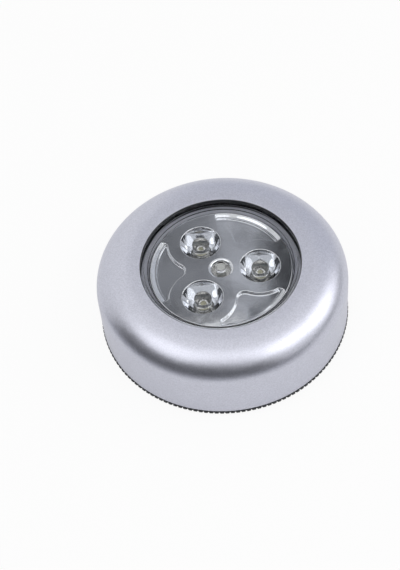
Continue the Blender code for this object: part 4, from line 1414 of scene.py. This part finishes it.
class PUCK_OT_studio(Operator):
    """A pale floor, soft light from above, panels for the reflections to show, and the camera"""

    bl_idname = "puck.studio"
    bl_label = "Studio"

    def shown(self, mixer, in_gloss):
        """1 for the camera's rays, another share for those of gloss and clear plastic, else 0."""
        camera, gloss, through = (
            mixer.node("ShaderNodeLightPath", output=f"Is {kind} Ray")
            for kind in ("Camera", "Glossy", "Transmission")
        )
        return mixer.larger(camera, mixer.larger(gloss, through) * in_gloss)

    def world(self, s):
        """White surroundings, and the soft light that comes from all round."""
        world = bpy.data.worlds.new("soft surroundings")
        world.use_nodes = True
        mixer = Mixer(world.node_tree)
        strength = mixer.larger(self.shown(mixer, s.world_in_gloss), s.surroundings)
        mixer.feed(world.node_tree.nodes["Background"], {"Color": WHITE, "Strength": strength})
        bpy.context.scene.world = world

    def floor(self, s, tints):
        """A pale floor that keeps the light's shadow and is clear from below."""
        bm = bmesh.new()
        bmesh.ops.create_circle(bm, cap_ends=True, segments=FLOOR_STEPS, radius=s.floor_radius)
        finish, mixer = new_finish("pale floor")
        matt = mixer.node("ShaderNodeBsdfDiffuse", inputs={"Color": rgba(tints.floor)})
        glow = mixer.node("ShaderNodeEmission", inputs={"Color": WHITE, "Strength": 1.0})
        amount = self.shown(mixer, s.floor_in_gloss) * s.floor_white
        mixed = mixer.node("ShaderNodeMixShader", inputs={0: amount, 1: matt, 2: glow})
        from_below = mixer.node("ShaderNodeNewGeometry", output="Backfacing")
        clear = mixer.node("ShaderNodeBsdfTransparent")
        one_way = mixer.node("ShaderNodeMixShader", inputs={0: from_below, 1: mixed, 2: clear})
        mixer.feed(finish.node_tree.nodes["Material Output"], {"Surface": one_way})
        piece = piece_from("floor", bm, finish)
        piece.visible_diffuse = False

    def panel(self, name, tones, arc, rise, radii=(0.6, 0.61), fades=()):
        """A panel curved about Z, cloudy between two tones, that only gloss and clear plastic show.

        Its arc is its middle, from the front, and its span in degrees. A fade dims it by a share
        between two places across X.
        """
        finish, mixer = new_finish(name)
        tint = bpy.context.scene.puck_colours.panel
        dim, bright = (shaded(tint, tone) for tone in tones)
        cloud = 0.5 + mixer.step(mixer.noise(0.05, 2.0), 0.35, 0.65) * 0.5
        for start, end, amount in fades:
            cloud = cloud * (1.0 - mixer.step(mixer.along(0), start, end) * amount)
        tone = mixer.blend(dim, bright, cloud)
        glow = mixer.node("ShaderNodeEmission", inputs={"Color": tone, "Strength": 1.0})
        mixer.feed(finish.node_tree.nodes["Material Output"], {"Surface": glow})
        middle, span = radians(arc[0]) - pi / 2, radians(arc[1])
        piece = piece_from(name, sector(*radii, *rise, middle, span), finish)
        piece.visible_camera = False
        piece.visible_diffuse = False
        piece.visible_shadow = False

    def panels(self):
        """The tones that the mirror face shows, from the front round to the back."""
        fades = ((0.014, 0.046, 1.0), (0.0, -0.03, 0.6))
        self.panel("dark_panel", (0.0, 0.09), arc=(-28.0, 132.0), rise=(0.0, 0.52))
        self.panel("low_panel", (0.05, 0.25), arc=(80.0, 84.0), rise=(0.0, 0.13))
        self.panel("valley_panel", (0.0, 0.09), arc=(-12.0, 34.0), rise=(0.52, 0.66))
        self.panel("front_strip", (0.25, 0.45), arc=(-20.0, 150.0), rise=(0.001, 0.002), radii=(0.09, 0.61))
        self.panel("back_panel", (0.46, 0.7), arc=(156.0, 72.0), rise=(0.05, 0.82), radii=(0.63, 0.64))
        self.panel("back_patch", (0.07, 0.54), arc=(183.0, 22.0), rise=(0.66, 0.914), fades=fades)
        self.panel("high_patch", (0.05, 0.22), arc=(174.0, 10.0), rise=(0.884, 0.95), radii=(0.598, 0.599))
        self.panel("back_glow", (1.6, 1.8), arc=(180.0, 60.0), rise=(0.95, 1.4))

    def lamp(self, s, name, power, azimuth, elevation, radius):
        """A round soft lamp that faces the origin from one side, its place in degrees."""
        light = bpy.data.lights.new(name, "AREA")
        light.shape = "DISK"
        light.size = 2 * radius
        light.energy = power
        lamp = bpy.data.objects.new(name, light)
        turn, rise = radians(azimuth), radians(elevation)
        away = Vector((sin(turn) * cos(rise), -cos(turn) * cos(rise), sin(rise)))
        facing = away.to_track_quat("Z", "Y").to_matrix().to_4x4()
        lamp.matrix_world = Matrix.Translation(away * s.lamp_distance) @ facing
        bpy.context.scene.collection.objects.link(lamp)

    def camera(self, s):
        """The camera at the photograph's angle, turned about its line of sight by the roll."""
        level_back = cos(s.elevation)
        back = Vector((sin(s.azimuth) * level_back, -cos(s.azimuth) * level_back, sin(s.elevation)))
        right = Vector((cos(s.azimuth), sin(s.azimuth), 0.0))
        up = back.cross(right)
        across = right * cos(s.roll) + up * sin(s.roll)
        upward = up * cos(s.roll) - right * sin(s.roll)
        lens = bpy.data.cameras.new("camera")
        lens.sensor_width = s.sensor
        lens.lens = s.lens
        lens.clip_start = s.distance / 50
        lens.clip_end = s.floor_radius * 4
        camera = bpy.data.objects.new("camera", lens)
        turn = Matrix((across, upward, back)).transposed().to_4x4()
        spot = back * s.distance + right * s.aim_across + up * s.aim_up
        camera.matrix_world = Matrix.Translation(spot) @ turn
        bpy.context.scene.collection.objects.link(camera)
        bpy.context.scene.camera = camera

    def execute(self, context):
        s = context.scene.puck_studio
        self.world(s)
        self.floor(s, context.scene.puck_colours)
        self.panels()
        self.lamp(s, "right lamp", s.right_lamp, azimuth=60.0, elevation=52.0, radius=0.24)
        self.lamp(s, "low right lamp", s.low_right_lamp, azimuth=95.0, elevation=36.0, radius=0.25)
        self.lamp(s, "left lamp", s.left_lamp, azimuth=-68.0, elevation=58.0, radius=0.28)
        self.lamp(s, "front lamp", s.front_lamp, azimuth=0.0, elevation=72.0, radius=0.2)
        self.camera(s)
        context.scene.view_settings.view_transform = "Standard"
        return {"FINISHED"}


OPERATORS = (
    PUCK_OT_studio,
    PUCK_OT_housing,
    PUCK_OT_cover,
    PUCK_OT_reflector,
    PUCK_OT_leds,
    PUCK_OT_base,
    PUCK_OT_cells,
    PUCK_OT_inner,
)


class PUCK_PT_sidebar(Panel):
    """Lists the operators that build the light"""

    bl_idname = "PUCK_PT_sidebar"
    bl_label = "Puck light"
    bl_space_type = "VIEW_3D"
    bl_region_type = "UI"
    bl_category = "Puck light"

    def draw(self, context):
        for operator in OPERATORS:
            self.layout.operator(operator.bl_idname)
        for group in SIZE_GROUPS:
            held = getattr(context.scene, group)
            box = self.layout.box()
            for name in held.bl_rna.properties.keys():
                if name not in {"rna_type", "name"}:
                    box.prop(held, name)


def register():
    for name, group in SIZE_GROUPS.items():
        bpy.utils.register_class(group)
        setattr(bpy.types.Scene, name, PointerProperty(type=group))
    for operator in OPERATORS:
        bpy.utils.register_class(operator)
    bpy.utils.register_class(PUCK_PT_sidebar)


def unregister():
    bpy.utils.unregister_class(PUCK_PT_sidebar)
    for operator in reversed(OPERATORS):
        bpy.utils.unregister_class(operator)
    for name, group in reversed(SIZE_GROUPS.items()):
        delattr(bpy.types.Scene, name)
        bpy.utils.unregister_class(group)


def main():
    """Builds the stage and the light."""
    register()
    bpy.ops.puck.studio()
    bpy.ops.puck.housing()
    bpy.ops.puck.cover()
    bpy.ops.puck.reflector()
    bpy.ops.puck.leds()
    bpy.ops.puck.base()
    bpy.ops.puck.cells()
    bpy.ops.puck.inner()


if __name__ == "__main__":
    main()
